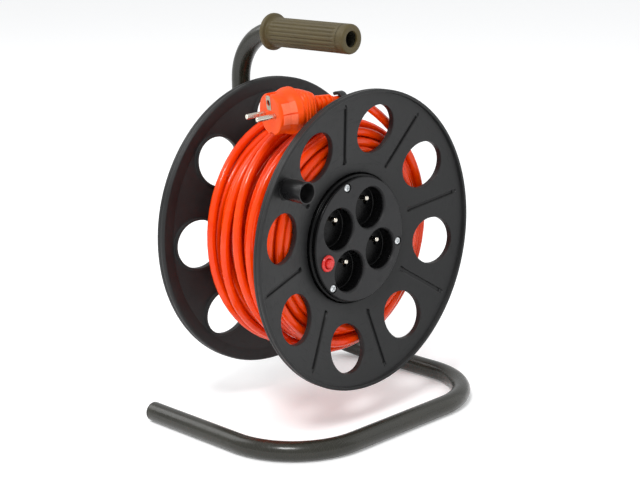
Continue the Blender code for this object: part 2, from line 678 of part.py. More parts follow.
def make_cutout(drum, plastic, red):
    """The thermal cut-out behind the panel, its collar and the reset button, on an origin on its axis."""
    radial = at_angle(BUTTON_ANGLE, 1.0)
    centre = radial * BUTTON_CIRCLE_RADIUS
    turn = Matrix.Rotation(-math.radians(BUTTON_ANGLE), 4, "Y")
    body = bmesh.new()
    add_box(body, (-8.5 * MM, -53.6 * MM, -6.5 * MM), (8.5 * MM, -28 * MM, 6.5 * MM))
    made = make_object("cutout_body", body, plastic, drum, matrix=Matrix.Translation(centre) @ turn)
    well = bmesh.new()
    add_cylinder(well, (0, -55 * MM, 0), (0, 1, 0), 8 * MM, 4.95 * MM, 16)
    combine(made, well, "DIFFERENCE")
    collar = [(4.9, -58.6), (7.2, -58.6), (8.0, -57.6), (8.0, -56.8)]
    collar += [(6.0, -56.8), (6.0, -53.9), (4.9, -53.9)]
    make_object("button_collar", turned(collar, 16), red, drum, centre)
    button = make_empty("button_origin", centre)
    button.parent = drum
    shape = [(0, -61.4), (3.0, -61.2), (4.1, -60.2), (4.3, -59.4), (4.3, -51.4), (0, -51.4)]
    make_object("reset_button", turned(shape, 12, closed=False), red, button)


# ---------------------------------------------------------------- knob


def make_knob(drum, plastic, metal):
    place = at_angle(KNOB_ANGLE, KNOB_CIRCLE_RADIUS)
    end, boss = KNOB_END_AXIAL / MM, KNOB_BOSS_AXIAL / MM
    stud = [(0, boss - 7.0), (6.3, boss - 7.0), (6.5, boss - 6.6), (6.5, boss - 4.9)]
    stud += [(3.9, boss - 4.9), (3.9, boss + 3.6), (0, boss + 3.6)]
    make_object("knob_stud", turned(stud, 16, closed=False), metal, drum, place)
    pivot = make_empty("knob_origin", place)
    pivot.parent = drum
    outer = KNOB_RADIUS / MM
    shape = [(4.3, boss - 0.3), (outer - 0.4, boss - 0.3), (outer, boss - 0.7), (outer, end + 0.5)]
    shape += [(outer - 0.5, end), (outer - 1.0, end), (outer - 1.3, end + 0.5), (outer - 1.3, boss - 4.5)]
    shape += [(4.3, boss - 4.5)]
    make_object("winding_knob", turned(shape, 20), plastic, pivot)


# ---------------------------------------------------------------- cable


def make_winding(drum, material):
    inner, outer, half = WINDING_INNER_RADIUS / MM, WINDING_OUTER_RADIUS / MM, WINDING_HALF_WIDTH / MM
    profile = [(inner, -half), (outer - 3, -half), (outer, -half + 4), (outer, half - 4), (outer - 3, half)]
    profile += [(inner, half)]
    make_object("cable_winding", turned(profile, DRUM_STEPS), material, drum)


def smooth_route(points, count):
    """Points on a Catmull-Rom curve through the given ones, spread evenly by its parameter."""
    ends = [points[0] * 2 - points[1]] + points + [points[-1] * 2 - points[-2]]
    found = []
    for k in range(count):
        along = k / (count - 1) * (len(points) - 1)
        first = min(int(along), len(points) - 2)
        t = along - first
        a, b, c, d = ends[first : first + 4]
        found.append(
            0.5 * (2 * b + (c - a) * t + (2 * a - 5 * b + 4 * c - d) * t**2 + (3 * b - a - 3 * c + d) * t**3)
        )
    return found


def make_tail(drum, material):
    """The cable's last stretch, from the top of the winding up to the plug's strain relief."""
    corners = [at_angle(angle, radius * MM, axial * MM) for angle, radius, axial in TAIL_ROUTE]
    corners[0] = PLUG_CORD_END + (PLUG_CORD_END - PLUG_FACE).normalized() * GAP
    curve = bpy.data.curves.new("cable_tail", "CURVE")
    curve.dimensions = "3D"
    curve.bevel_depth = CABLE_RADIUS
    curve.bevel_resolution = 2
    curve.use_fill_caps = True
    spline = curve.splines.new("POLY")
    route = smooth_route(corners, TAIL_POINTS)
    spline.points.add(len(route) - 1)
    for point, place in zip(spline.points, route):
        point.co = (*place, 1.0)
    made = bpy.data.objects.new("cable_tail", curve)
    bpy.context.collection.objects.link(made)
    made.parent = drum
    curve.materials.append(material)


def make_plug(drum, rubber, metal):
    """The mains plug. Its own Y axis runs from the face (0) back to the cord, and its Z axis is up."""
    back = (PLUG_CORD_END - PLUG_FACE).normalized()
    across = back.cross(Vector((0, 0, 1))).normalized()
    up = across.cross(back)
    turn = Matrix((across, back, up)).transposed().to_4x4()
    placed = Matrix.Translation(PLUG_FACE) @ turn
    length = (PLUG_CORD_END - PLUG_FACE).length / MM
    body, collar, end = PLUG_BODY_RADIUS / MM, PLUG_COLLAR_RADIUS / MM, PLUG_BODY_LENGTH / MM
    profile = [(0, 0), (body - 1.2, 0), (body, 1.2), (body, 11), (collar, 18), (collar, 23)]
    profile += [(18.7, 26), (17.2, 32), (15.0, 37.5), (11.5, end), (0, end)]
    made = make_object("plug_body", turned(profile, 20, closed=False), rubber, drum, matrix=placed)
    holes = bmesh.new()
    add_cylinder(holes, (0, -MM, EARTH_OFFSET), (0, 1, 0), 19 * MM, 2.6 * MM, 12)
    for side in (-1, 1):
        start = (side * PIN_SPACING / 2, -MM, 0)
        add_cylinder(holes, start, (0, 1, 0), 9 * MM, PIN_RADIUS + GAP, 12)
        notch = body * side * MM
        add_box(holes, (-3.5 * MM, -MM, notch - 2.6 * MM), (3.5 * MM, 15 * MM, notch + 2.6 * MM))
    combine(made, holes, "DIFFERENCE")
    for k, side in enumerate((-1, 1), 1):
        pin = [(0, -PLUG_PIN_LENGTH / MM), (1.6, -18.7), (2.4, -17.6), (2.4, 7.7), (0, 7.7)]
        shift = placed @ Matrix.Translation((side * PIN_SPACING / 2, 0, 0))
        make_object(f"plug_pin_{k}", turned(pin, 10, closed=False), metal, drum, matrix=shift)
    contact = bmesh.new()
    add_box(contact, (-3.1 * MM, -0.8 * MM, 5.5 * MM), (3.1 * MM, -0.3 * MM, 18.0 * MM))
    made = make_object("plug_earth_contact", contact, metal, drum, matrix=placed)
    mouth = bmesh.new()
    add_cylinder(mouth, (0, -3 * MM, EARTH_OFFSET), (0, 1, 0), 5 * MM, 2.4 * MM, 12)
    combine(made, mouth, "DIFFERENCE")
    start = end + GAP / MM
    ribs = [(0, start), (8.6, start)]
    for k in range(RELIEF_RIBS):
        radius = 8.5 - 0.5 * k
        place = start + 2.2 + RELIEF_PITCH / MM * k
        ribs += [(radius, place), (radius - 1.3, place + 0.5)]
        ribs += [(radius - 1.4, place + 1.7), (radius - 0.2, place + 2.2)]
    ribs += [(6.4, length - 1.2), (5.4, length), (0, length)]
    make_object("plug_strain_relief", turned(ribs, 12, closed=False), rubber, drum, matrix=placed)


def make_plug_clip(drum, material):
    """An open hook on the front flange that holds the cord just behind the plug."""
    centre = at_angle(TAIL_ROUTE[1][0], TAIL_ROUTE[1][1] * MM, TAIL_ROUTE[1][2] * MM)
    inner, outer, width, opening = 5.2 * MM, 7.6 * MM, 6.0 * MM, math.radians(110)
    built = bmesh.new()
    steps = 12
    first = opening / 2
    section = ((-width / 2, inner), (-width / 2, outer), (width / 2, outer), (width / 2, inner))
    corners = [built.verts.new((x, r * math.cos(first), r * math.sin(first))) for x, r in section]
    face = built.faces.new(corners)
    bmesh.ops.spin(
        built,
        geom=[face],
        axis=(1, 0, 0),
        cent=(0, 0, 0),
        angle=2 * math.pi - opening,
        steps=steps,
        use_duplicate=False,
    )
    bmesh.ops.recalc_face_normals(built, faces=built.faces)
    made = make_object("plug_clip", built, material, drum, centre)
    foot = bmesh.new()
    far = -60.7 * MM - centre.y
    add_box(foot, (-width / 2, far, -4 * MM), (width / 2, -inner - 1.0 * MM, 4 * MM))
    combine(made, foot, "UNION")


def make_gland(drum, material):
    outward = at_angle(GLAND_ANGLE, 1.0)
    turn = outward.to_track_quat("Y", "Z").to_matrix().to_4x4()
    profile = [(4.6, 50), (7.8, 50), (7.8, 53.5), (6.1, 53.5), (6.1, 69.6), (4.6, 69.6)]
    matrix = Matrix.Translation((0, GLAND_AXIAL, 0)) @ turn
    make_object("cable_gland", turned(profile, 16), material, drum, matrix=matrix)


def main():
    clear_scene()
    black_plastic = finish_of("black_plastic", (0.032, 0.032, 0.034), 0.55)
    gloss_black = finish_of("gloss_black", (0.012, 0.012, 0.013), 0.25)
    red_plastic = finish_of("red_plastic", (0.62, 0.02, 0.015), 0.35)
    orange_rubber = finish_of("orange_rubber", (0.9, 0.11, 0.02), 0.45)
    orange_cable = finish_of("orange_cable", (0.8, 0.06, 0.008), 0.4)
    grip_rubber = finish_of("grip_rubber", (0.11, 0.08, 0.027), 0.6)
    painted_steel = finish_of("painted_steel", (0.045, 0.045, 0.032), 0.3)
    steel = finish_of("steel", (0.55, 0.55, 0.57), 0.3, 1.0)
    zinc = finish_of("zinc", (0.75, 0.76, 0.78), 0.28, 1.0)
    nickel = finish_of("nickel", (0.72, 0.69, 0.62), 0.2, 1.0)
    copper = finish_of("brass", (0.78, 0.57, 0.28), 0.3, 1.0)
    nylon = finish_of("nylon", (0.7, 0.68, 0.62), 0.5)

    make_frame_tube(painted_steel)
    make_foot_end_cap(black_plastic)
    make_handle_grip(grip_rubber)
    make_axle_parts(steel, nylon, zinc)

    drum = make_empty("drum_origin", (0, DRUM_Y, AXLE_HEIGHT))
    make_front_flange(drum, black_plastic)
    make_hub_cup(drum, black_plastic)
    make_rear_flange(drum, black_plastic)
    make_core_barrel(drum, black_plastic)
    make_bushes(drum, nylon)
    make_screws(drum, zinc)
    make_socket_panel(drum, black_plastic)
    make_sockets(drum, gloss_black, nickel)
    make_busbars(drum, copper)
    make_terminal_block(drum, nylon)
    make_cutout(drum, black_plastic, red_plastic)
    make_knob(drum, black_plastic, zinc)
    make_gland(drum, gloss_black)
    make_plug_clip(drum, gloss_black)
    make_winding(drum, orange_cable)
    make_tail(drum, orange_cable)
    make_plug(drum, orange_rubber, nickel)


main()
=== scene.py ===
"""Looks of an extension cord reel: a tube stand, a holed plastic drum, its sockets and 25 m of orange cable.

Lengths are in millimetres in the drum's own terms: the origin is the middle of the drum on its axle, X runs to
the right, Y runs back along the axle and Z runs up. `to_world` turns them into metres in the shared frame.
"""

from __future__ import annotations

import logging
import math
from dataclasses import dataclass, field
from enum import Enum

import bmesh
import bpy
import numpy as np
from mathutils import Matrix, Vector
from numpy.typing import NDArray


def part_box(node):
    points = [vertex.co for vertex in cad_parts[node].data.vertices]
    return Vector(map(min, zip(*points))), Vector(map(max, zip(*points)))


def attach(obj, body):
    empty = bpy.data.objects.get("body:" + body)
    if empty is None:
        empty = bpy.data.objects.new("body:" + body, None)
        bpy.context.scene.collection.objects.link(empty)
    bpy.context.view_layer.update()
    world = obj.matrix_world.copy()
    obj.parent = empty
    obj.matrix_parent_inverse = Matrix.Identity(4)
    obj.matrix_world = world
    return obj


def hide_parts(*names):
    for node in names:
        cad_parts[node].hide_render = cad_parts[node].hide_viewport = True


Array = NDArray[np.float64]
Triple = tuple[float, float, float]
Outline = list[tuple[float, float]]
LOG = logging.getLogger("cord_reel")

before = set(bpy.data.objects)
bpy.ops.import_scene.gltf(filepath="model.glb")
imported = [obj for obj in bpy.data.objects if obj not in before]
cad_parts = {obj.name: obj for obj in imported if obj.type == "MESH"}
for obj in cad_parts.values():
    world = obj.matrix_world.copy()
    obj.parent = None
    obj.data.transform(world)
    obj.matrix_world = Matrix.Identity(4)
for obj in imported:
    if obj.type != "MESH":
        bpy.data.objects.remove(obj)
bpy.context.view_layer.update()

METRE = 0.001
MERGE_DISTANCE = 2e-6
SHARP_ANGLE = math.radians(38.0)
RIM_HEIGHT = 68.9
PANEL_UP = 108.0
DUST = (0.42, 0.40, 0.37)
COAT_ROUGHNESS = 0.12


class Body(str, Enum):
    """The moving bodies of the reel."""

    STAND = "stand"
    DRUM = "drum"
    KNOB = "knob"
    BUTTON = "button"


def drum_centre() -> Array:
    """The middle of the drum in millimetres of the shared frame, from the front flange's box.

    Returns:
        The point on the axle halfway between the two flanges.
    """
    low, high = (np.array(corner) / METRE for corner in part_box("front_flange"))
    return np.array([0.0, low[1] + RIM_HEIGHT, (low[2] + high[2]) / 2.0])


CENTRE = drum_centre()


def to_world(points: Array) -> Array:
    """Millimetres from the drum's middle, turned into metres of the shared frame."""
    return (points + CENTRE) * METRE


def smoothstep(value: Array, low: float, high: float) -> Array:
    """An S-shaped ramp: 0 below low, 1 above high, 3t^2 - 2t^3 between."""
    t = np.clip((value - low) / (high - low), 0.0, 1.0)
    return t * t * (3.0 - 2.0 * t)


def unit(vectors: Array) -> Array:
    """Vectors divided by their own lengths."""
    return vectors / np.linalg.norm(vectors, axis=-1, keepdims=True)


def full_turn(steps: int) -> Array:
    """Evenly spaced angles round a circle, in radians."""
    return np.arange(steps) * (2.0 * math.pi / steps)


def rounded(outline: Outline, radius: float, closed: bool = True, steps: int = 4) -> Array:
    """An outline with each corner replaced by a short curve.

    The curve at a corner is (1-t)^2 a + 2t(1-t) corner + t^2 b, where a and b lie on the two edges at the radius
    from the corner, or at 0.45 of the edge where the edge is short.

    Args:
        outline: The corners in order.
        radius: How far from each corner its curve starts.
        closed: Whether the last corner joins the first.
        steps: Spans in each curve.

    Returns:
        The points of the softened outline.
    """
    corners = np.array(outline, float)
    ends = []
    for shift in (1, -1):
        edge = np.roll(corners, shift, axis=0) - corners
        length = np.linalg.norm(edge, axis=1, keepdims=True)
        reach = np.minimum(radius, 0.45 * length)
        if not closed:
            reach[[0, -1]] = 0.0
        ends.append(corners + edge / np.maximum(length, 1e-9) * reach)
    t = np.linspace(0.0, 1.0, steps + 1)[None, :, None]
    curve = (1 - t) ** 2 * ends[0][:, None] + 2 * t * (1 - t) * corners[:, None] + t**2 * ends[1][:, None]
    return curve.reshape(-1, 2)


def capped(grid: Array) -> Array:
    """A grid whose first and last rows are drawn in to their own middles by one more row each."""
    start, end = (np.broadcast_to(grid[row].mean(axis=0), grid[:1].shape) for row in (0, -1))
    return np.concatenate([start, grid, end])


@dataclass(frozen=True)
class Axis:
    """A place and a direction that round pieces are turned about.

    Attributes:
        origin: A point on the axis.
        along: Unit vector along the axis.
        first: Unit vector across it, where the turning angle is zero.
    """

    origin: Triple = (0.0, 0.0, 0.0)
    along: Triple = (0.0, 1.0, 0.0)
    first: Triple = (1.0, 0.0, 0.0)

    def second(self) -> Array:
        """Unit vector across the axis, where the turning angle is a right angle."""
        return np.cross(np.array(self.first), np.array(self.along))

    def moved(self, across: float, upward: float) -> Axis:
        """The same axis, moved along its first and second vectors."""
        return Axis(tuple(self.offset(across, upward, 0.0)), self.along, self.first)

    def offset(self, across: Array, upward: Array, axial: Array) -> Array:
        """Points at origin + across first + upward second + axial along."""
        parts = zip(np.broadcast_arrays(across, upward, axial), (self.first, self.second(), self.along))
        return np.array(self.origin) + sum(np.multiply.outer(part, np.array(line)) for part, line in parts)

    def place(self, radius: Array, angle: Array, axial: Array) -> Array:
        """Points at origin + r cos(angle) first + r sin(angle) second + axial along."""
        return self.offset(radius * np.cos(angle), radius * np.sin(angle), axial)

    def turned(self, profile: Array | Outline, angles: Array) -> Array:
        """A profile of (radius, axial) rows carried round the axis, as a grid of rows by angles."""
        rows = np.asarray(profile, float)
        return self.place(rows[:, :1], angles, rows[:, 1:])

    def solid(self, profile: Array | Outline, steps: int, ring: bool = False) -> bpy.types.Mesh:
        """A turned mesh; with ring, the profile's last row joins its first."""
        return Shell().add(self.turned(profile, full_turn(steps)), wrap_rows=ring).mesh()


DRUM_AXIS = Axis()


def axle_parallel(angle: float, place: float, up: float = PANEL_UP) -> Axis:
    """An axis along the axle's.

    Args:
        angle: Its angle round the axle, in degrees.
        place: Its distance from the axle.
        up: Angle of its own upward direction, in degrees.

    Returns:
        The axis.
    """
    turn, upward = math.radians(angle), math.radians(up)
    right = (math.sin(upward), 0.0, -math.cos(upward))
    return Axis((place * math.cos(turn), 0.0, place * math.sin(turn)), first=right)


class Shell:
    """Grids of points gathered into one mesh."""

    def __init__(self) -> None:
        """Starts with nothing in it."""
        self.points: list[Array] = []
        self.quads: list[NDArray[np.int64]] = []
        self.count = 0

    def add(self, grid: Array, wrap_rows: bool = False, wrap_columns: bool = True) -> Shell:
        """Adds a surface whose point (i, j) joins its neighbours (i+1, j), (i+1, j+1) and (i, j+1).

        Args:
            grid: Points, rows by columns by 3.
            wrap_rows: Whether the last row joins the first.
            wrap_columns: Whether the last column joins the first.

        Returns:
            This shell.
        """
        rows, columns = grid.shape[:2]
        index = np.arange(rows * columns).reshape(rows, columns) + self.count
        if wrap_rows:
            index = np.vstack([index, index[:1]])
        if wrap_columns:
            index = np.hstack([index, index[:, :1]])
        quads = np.stack([index[:-1, :-1], index[1:, :-1], index[1:, 1:], index[:-1, 1:]], axis=-1)
        self.points.append(grid.reshape(-1, 3))
        self.quads.append(quads.reshape(-1, 4))
        self.count += rows * columns
        return self

    def mesh(self) -> bpy.types.Mesh:
        """The gathered grids as a Blender mesh, with equal points joined and normals outward.

        Returns:
            The mesh.
        """
        mesh = bpy.data.meshes.new("surface")
        mesh.from_pydata(to_world(np.vstack(self.points)).tolist(), [], np.vstack(self.quads).tolist())
        work = bmesh.new()
        work.from_mesh(mesh)
        bmesh.ops.remove_doubles(work, verts=work.verts, dist=MERGE_DISTANCE)
        bmesh.ops.dissolve_degenerate(work, edges=work.edges, dist=MERGE_DISTANCE / 2)
        bmesh.ops.recalc_face_normals(work, faces=work.faces)
        work.to_mesh(mesh)
        work.free()
        smooth(mesh)
        return mesh


def smooth(mesh: bpy.types.Mesh) -> None:
    """Shades a mesh smooth, apart from its sharp edges."""
    mesh.polygons.foreach_set("use_smooth", np.ones(len(mesh.polygons), dtype=bool))
    mesh.set_sharp_from_angle(angle=SHARP_ANGLE)


def cut(mesh: bpy.types.Mesh, cutters: list[bpy.types.Mesh]) -> bpy.types.Mesh:
    """A mesh with the given closed meshes taken out of it, shaded smooth.

    Args:
        mesh: The mesh that is cut.
        cutters: Closed meshes of what is taken away.

    Returns:
        The cut mesh.
    """
    host = bpy.data.objects.new("cut_host", mesh)
    tools = [bpy.data.objects.new("cut_tool", cutter) for cutter in cutters]
    for held in (host, *tools):
        bpy.context.collection.objects.link(held)
    for tool in tools:
        modifier = host.modifiers.new("cut", "BOOLEAN")
        modifier.operation = "DIFFERENCE"
        modifier.solver = "EXACT"
        modifier.object = tool
    bpy.context.view_layer.update()
    evaluated = host.evaluated_get(bpy.context.evaluated_depsgraph_get())
    result = bpy.data.meshes.new_from_object(evaluated)
    for spare in (host, *tools):
        bpy.data.objects.remove(spare)
    smooth(result)
    return result


# ---- Finishes ----


def add_node(
    tree: bpy.types.NodeTree, kind: str, inputs: dict[int | str, object] | None = None, **settings: object
) -> bpy.types.Node:
    """Adds a shader node.

    Args:
        tree: Where it goes.
        kind: The node's type.
        inputs: By number or name, a value for each input or the socket that feeds it.
        settings: The node's properties.

    Returns:
        The node.
    """
    node = tree.nodes.new(kind)
    for name, value in settings.items():
        setattr(node, name, value)
    for key, value in (inputs or {}).items():
        if isinstance(value, bpy.types.NodeSocket):
            tree.links.new(value, node.inputs[key])
        else:
            node.inputs[key].default_value = value
    return node


def add_math(tree: bpy.types.NodeTree, operation: str, first: object, second: object) -> bpy.types.NodeSocket:
    """Adds a Math node on two numbers or sockets and returns its result."""
    return add_node(tree, "ShaderNodeMath", {0: first, 1: second}, operation=operation).outputs[0]


def mix_colour(tree: bpy.types.NodeTree, share: object, first: object, second: object) -> bpy.types.NodeSocket:
    """Adds a mix of two colours and returns its result."""
    return add_node(tree, "ShaderNodeMix", {0: share, 6: first, 7: second}, data_type="RGBA").outputs[2]


class Group:
    """A shader node group being written: a vector and numbers go in, and one number comes out."""

    def __init__(self, name: str, output: str, **inputs: float) -> None:
        """Makes the group and its sockets.

        Args:
            name: The group's name.
            output: The output's name.
            inputs: The number inputs and their starting values.
        """
        self.tree = bpy.data.node_groups.new(name, "ShaderNodeTree")
        sockets = self.tree.interface
        sockets.new_socket("Vector", in_out="INPUT", socket_type="NodeSocketVector")
        for label, value in inputs.items():
            sockets.new_socket(label, in_out="INPUT", socket_type="NodeSocketFloat").default_value = value
        sockets.new_socket(output, in_out="OUTPUT", socket_type="NodeSocketFloat")
        self.given = self.tree.nodes.new("NodeGroupInput").outputs

    def add(self, kind: str, inputs: dict[int | str, object] | None = None, **settings: object) -> object:
        """Adds a node and returns its first output."""
        return add_node(self.tree, kind, inputs, **settings).outputs[0]

    def math(self, operation: str, first: object, second: object) -> bpy.types.NodeSocket:
        """The result of a Math node on two numbers or sockets."""
        return add_math(self.tree, operation, first, second)

    def noise(self, scale: object, detail: float, vector: object = None) -> object:
        """A noise texture's value, on the group's own vector unless another is given."""
        return self.add(
            "ShaderNodeTexNoise", {"Vector": vector or self.given["Vector"], "Scale": scale, "Detail": detail}
        )

    def ramp(self, value: object, low: float, high: float) -> object:
        """A value's place between two limits, held between 0 and 1."""
        return self.add("ShaderNodeMapRange", {0: value, 1: low, 2: high})

    def done(self, result: object) -> bpy.types.NodeTree:
        """Gives out the result and returns the group."""
        self.tree.links.new(result, self.tree.nodes.new("NodeGroupOutput").inputs[0])
        return self.tree


def grain_group() -> bpy.types.NodeTree:
    """Moulded grain: fine cells with finer noise over them, given out as a height."""
    group = Group("moulded_grain", "Height", Scale=1500.0, Cells=0.5)
    scale = group.given["Scale"]
    noise = group.noise(group.math("MULTIPLY", scale, 2.3), 4.0)
    cells = group.add("ShaderNodeTexVoronoi", {"Vector": group.given["Vector"], "Scale": scale}, feature="SMOOTH_F1")
    return group.done(group.add("ShaderNodeMix", {0: group.given["Cells"], 2: noise, 3: cells}))


def cloud_group() -> bpy.types.NodeTree:
    """Uneven tone: two sizes of soft noise, the finer at 0.6, added into a value about 0.5."""
    group = Group("uneven_tone", "Tone", Scale=30.0)
    broad, fine = (group.noise(group.math("MULTIPLY", group.given["Scale"], finer), 5.0) for finer in (1.0, 6.5))
    return group.done(group.ramp(group.math("ADD", broad, group.math("MULTIPLY", fine, 0.6)), 0.55, 1.05))


def wear_group() -> bpy.types.NodeTree:
    """Edge wear: where the surface is sharply convex, broken up by noise, as a mask."""
    group = Group("edge_wear", "Mask", Amount=0.5)
    edge = group.ramp(add_node(group.tree, "ShaderNodeNewGeometry").outputs["Pointiness"], 0.52, 0.62)
    worn = group.math("MULTIPLY", edge, group.ramp(group.noise(260.0, 6.0), 0.42, 0.62))
    return group.done(group.math("MULTIPLY", worn, group.given["Amount"]))


def dust_group() -> bpy.types.NodeTree:
    """Settled dust: faces that look up, in soft patches, as a mask."""
    group = Group("settled_dust", "Mask", Amount=0.1)
    normal = add_node(group.tree, "ShaderNodeTexCoord").outputs["Normal"]
    upward = add_node(group.tree, "ShaderNodeSeparateXYZ", {0: normal}).outputs["Z"]
    settled = group.math("MULTIPLY", group.ramp(upward, 0.1, 1.0), group.noise(55.0, 8.0))
    return group.done(group.math("MULTIPLY", settled, group.given["Amount"]))


def scratch_group() -> bpy.types.NodeTree:
    """Fine scratches: noise drawn out thin in two directions, as a mask."""
    group = Group("fine_scratches", "Mask", Scale=60.0)
    masks = []
    for turn, stretch in ((0.6, (1.0, 40.0, 2.0)), (-0.9, (30.0, 1.0, 1.5))):
        values = {0: group.given["Vector"], "Rotation": (turn, turn * 0.7, turn * 1.3), "Scale": stretch}
        drawn_out = group.add("ShaderNodeMapping", values)
        masks.append(group.ramp(group.noise(group.given["Scale"], 2.0, drawn_out), 0.60, 0.68))
    return group.done(group.math("MAXIMUM", masks[0], masks[1]))


class Groups:
    """The shared shader effects, each built once."""

    def __init__(self) -> None:
        """Builds the node groups."""
        self.grain, self.tone, self.wear = grain_group(), cloud_group(), wear_group()
        self.dust, self.scratch = dust_group(), scratch_group()


@dataclass(frozen=True)
class Finish:
    """One finish: its colours, gloss, grain and wear.

    Attributes:
        name: The material's name.
        slot: The record's material slot.
        colour: The usual colour, linear.
        tint: The colour it drifts to in patches.
        worn: The colour of worn edges.
        roughness: Lowest and highest roughness.
        metallic: 1 for bare metal.
        specular: Strength of the plain reflection.
        coat: Weight of a clear coat.
        grain: Scale of the grain, per metre.
        grain_depth: Depth of the grain, in metres.
        grain_cells: Share of cells in the grain, over noise.
        tone_scale: Scale of the uneven tone, per metre.
        wear: Strength of edge wear.
        dust: Strength of settled dust.
        scratches: How much scratches add to the roughness.
        sheen: Weight of a soft sheen.
    """

    name: str
    slot: str
    colour: Triple
    tint: Triple
    worn: Triple
    roughness: tuple[float, float]
    metallic: float = 0.0
    specular: float = 0.5
    coat: float = 0.0
    grain: float = 1500.0
    grain_depth: float = 0.00002
    grain_cells: float = 0.5
    tone_scale: float = 30.0
    wear: float = 0.3
    dust: float = 0.03
    scratches: float = 0.1
    sheen: float = 0.0

    def material(self, groups: Groups) -> bpy.types.Material:
        """The finish as a material.

        Args:
            groups: The shared effects.

        Returns:
            The material, made once and found again by its name.
        """
        made = bpy.data.materials.get(self.name)
        if made:
            return made
        made = bpy.data.materials.new(self.name)
        made.use_nodes = True
        tree = made.node_tree
        shader = tree.nodes["Principled BSDF"].inputs
        where = add_node(tree, "ShaderNodeTexCoord").outputs["Object"]

        def effect(group: bpy.types.NodeTree, **values: float) -> bpy.types.NodeSocket:
            """Puts a shared effect into the material with its own values."""
            return add_node(tree, "ShaderNodeGroup", {"Vector": where, **values}, node_tree=group).outputs[0]

        tone = effect(groups.tone, Scale=self.tone_scale)
        colour = mix_colour(tree, tone, (*self.colour, 1.0), (*self.tint, 1.0))
        colour = mix_colour(tree, effect(groups.wear, Amount=self.wear), colour, (*self.worn, 1.0))
        colour = mix_colour(tree, effect(groups.dust, Amount=self.dust), colour, (*DUST, 1.0))
        tree.links.new(colour, shader["Base Color"])
        low, high = self.roughness
        spread = add_node(tree, "ShaderNodeMapRange", {0: tone, 3: low, 4: high}).outputs[0]
        scratched = add_math(tree, "MULTIPLY", effect(groups.scratch), self.scratches)
        tree.links.new(add_math(tree, "ADD", spread, scratched), shader["Roughness"])
        grain = effect(groups.grain, Scale=self.grain, Cells=self.grain_cells)
        bump = add_node(tree, "ShaderNodeBump", {"Distance": self.grain_depth, "Height": grain})
        tree.links.new(bump.outputs[0], shader["Normal"])
        shader["Metallic"].default_value = self.metallic
        shader["Specular IOR Level"].default_value = self.specular
        shader["Coat Weight"].default_value = self.coat
        shader["Coat Roughness"].default_value = COAT_ROUGHNESS
        shader["Sheen Weight"].default_value = self.sheen
        return made


MATTE_BLACK = Finish(
    "matte_black_plastic", "black_plastic", (0.0095, 0.0098, 0.0102), (0.0145, 0.0147, 0.015), (0.05, 0.05, 0.05),
    (0.40, 0.54), specular=0.30, grain=1300.0, grain_depth=0.00006, wear=0.45, dust=0.05, scratches=0.12,
)
PANEL_BLACK = Finish(
    "panel_black_plastic", "black_plastic", (0.012, 0.012, 0.0127), (0.017, 0.017, 0.018), (0.05, 0.05, 0.05),
    (0.48, 0.62), specular=0.30, grain=1900.0, grain_depth=0.00004,
)
GLOSS_BLACK = Finish(
    "gloss_black_plastic", "gloss_black", (0.0018, 0.0018, 0.002), (0.0032, 0.0032, 0.0034), (0.02, 0.02, 0.02),
    (0.2, 0.34), specular=0.16, grain=700.0, grain_depth=0.00001, wear=0.15, dust=0.0, scratches=0.15,
)
KNOB_BLACK = Finish(
    "knob_black_plastic", "black_plastic", (0.0045, 0.0045, 0.005), (0.008, 0.008, 0.0085), (0.05, 0.05, 0.05),
    (0.22, 0.36), specular=0.38, dust=0.02, scratches=0.2,
)
TUBE_PAINT = Finish(
    "olive_grey_paint", "painted_steel", (0.0125, 0.0122, 0.0078), (0.019, 0.0185, 0.012), (0.11, 0.10, 0.08),
    (0.2, 0.32), specular=0.42, coat=0.1, grain=420.0, grain_depth=0.00006, grain_cells=0.25,
    tone_scale=18.0, wear=0.25, scratches=0.2,
)
GRIP_RUBBER = Finish(
    "olive_grip_rubber", "grip_rubber", (0.058, 0.043, 0.013), (0.080, 0.061, 0.021), (0.15, 0.12, 0.06),
    (0.42, 0.6), specular=0.34, grain=2200.0, grain_depth=0.00005, tone_scale=45.0, wear=0.4, dust=0.04,
    sheen=0.02,
)
CABLE_ORANGE = Finish(
    "orange_cable_sheath", "orange_cable", (0.86, 0.058, 0.0), (0.76, 0.036, 0.0), (0.95, 0.18, 0.06),
    (0.11, 0.18), specular=0.32, grain=900.0, grain_depth=0.00001, grain_cells=0.2, tone_scale=24.0, wear=0.0,
    dust=0.02, scratches=0.18,
)
PLUG_ORANGE = Finish(
    "orange_moulded_rubber", "orange_rubber", (0.88, 0.078, 0.0), (0.78, 0.056, 0.0), (0.96, 0.22, 0.08),
    (0.3, 0.44), specular=0.22, grain=1700.0, grain_depth=0.00004, tone_scale=60.0, wear=0.35,
)
PLUG_PAD = Finish(
    "ribbed_grip_pad", "orange_rubber", (0.90, 0.15, 0.06), (0.80, 0.11, 0.04), (0.96, 0.30, 0.18),
    (0.55, 0.7), specular=0.4, grain=900.0, grain_depth=0.00012, tone_scale=80.0,
)
BUTTON_RED = Finish(
    "red_plastic", "red_plastic", (0.72, 0.012, 0.018), (0.58, 0.008, 0.012), (0.85, 0.12, 0.1),
    (0.26, 0.4), specular=0.55, grain=1400.0, tone_scale=120.0, dust=0.02,
)
NICKEL = Finish(
    "nickel_plate", "nickel", (0.72, 0.68, 0.60), (0.62, 0.57, 0.49), (0.85, 0.82, 0.76),
    (0.14, 0.28), metallic=1.0, grain=500.0, grain_depth=0.00001, tone_scale=140.0, dust=0.0, scratches=0.25,
)
DULL_NICKEL = Finish(
    "dull_nickel", "nickel", (0.42, 0.38, 0.30), (0.30, 0.27, 0.21), (0.7, 0.66, 0.58),
    (0.28, 0.45), metallic=1.0, grain=900.0, tone_scale=200.0, dust=0.0, scratches=0.3,
)
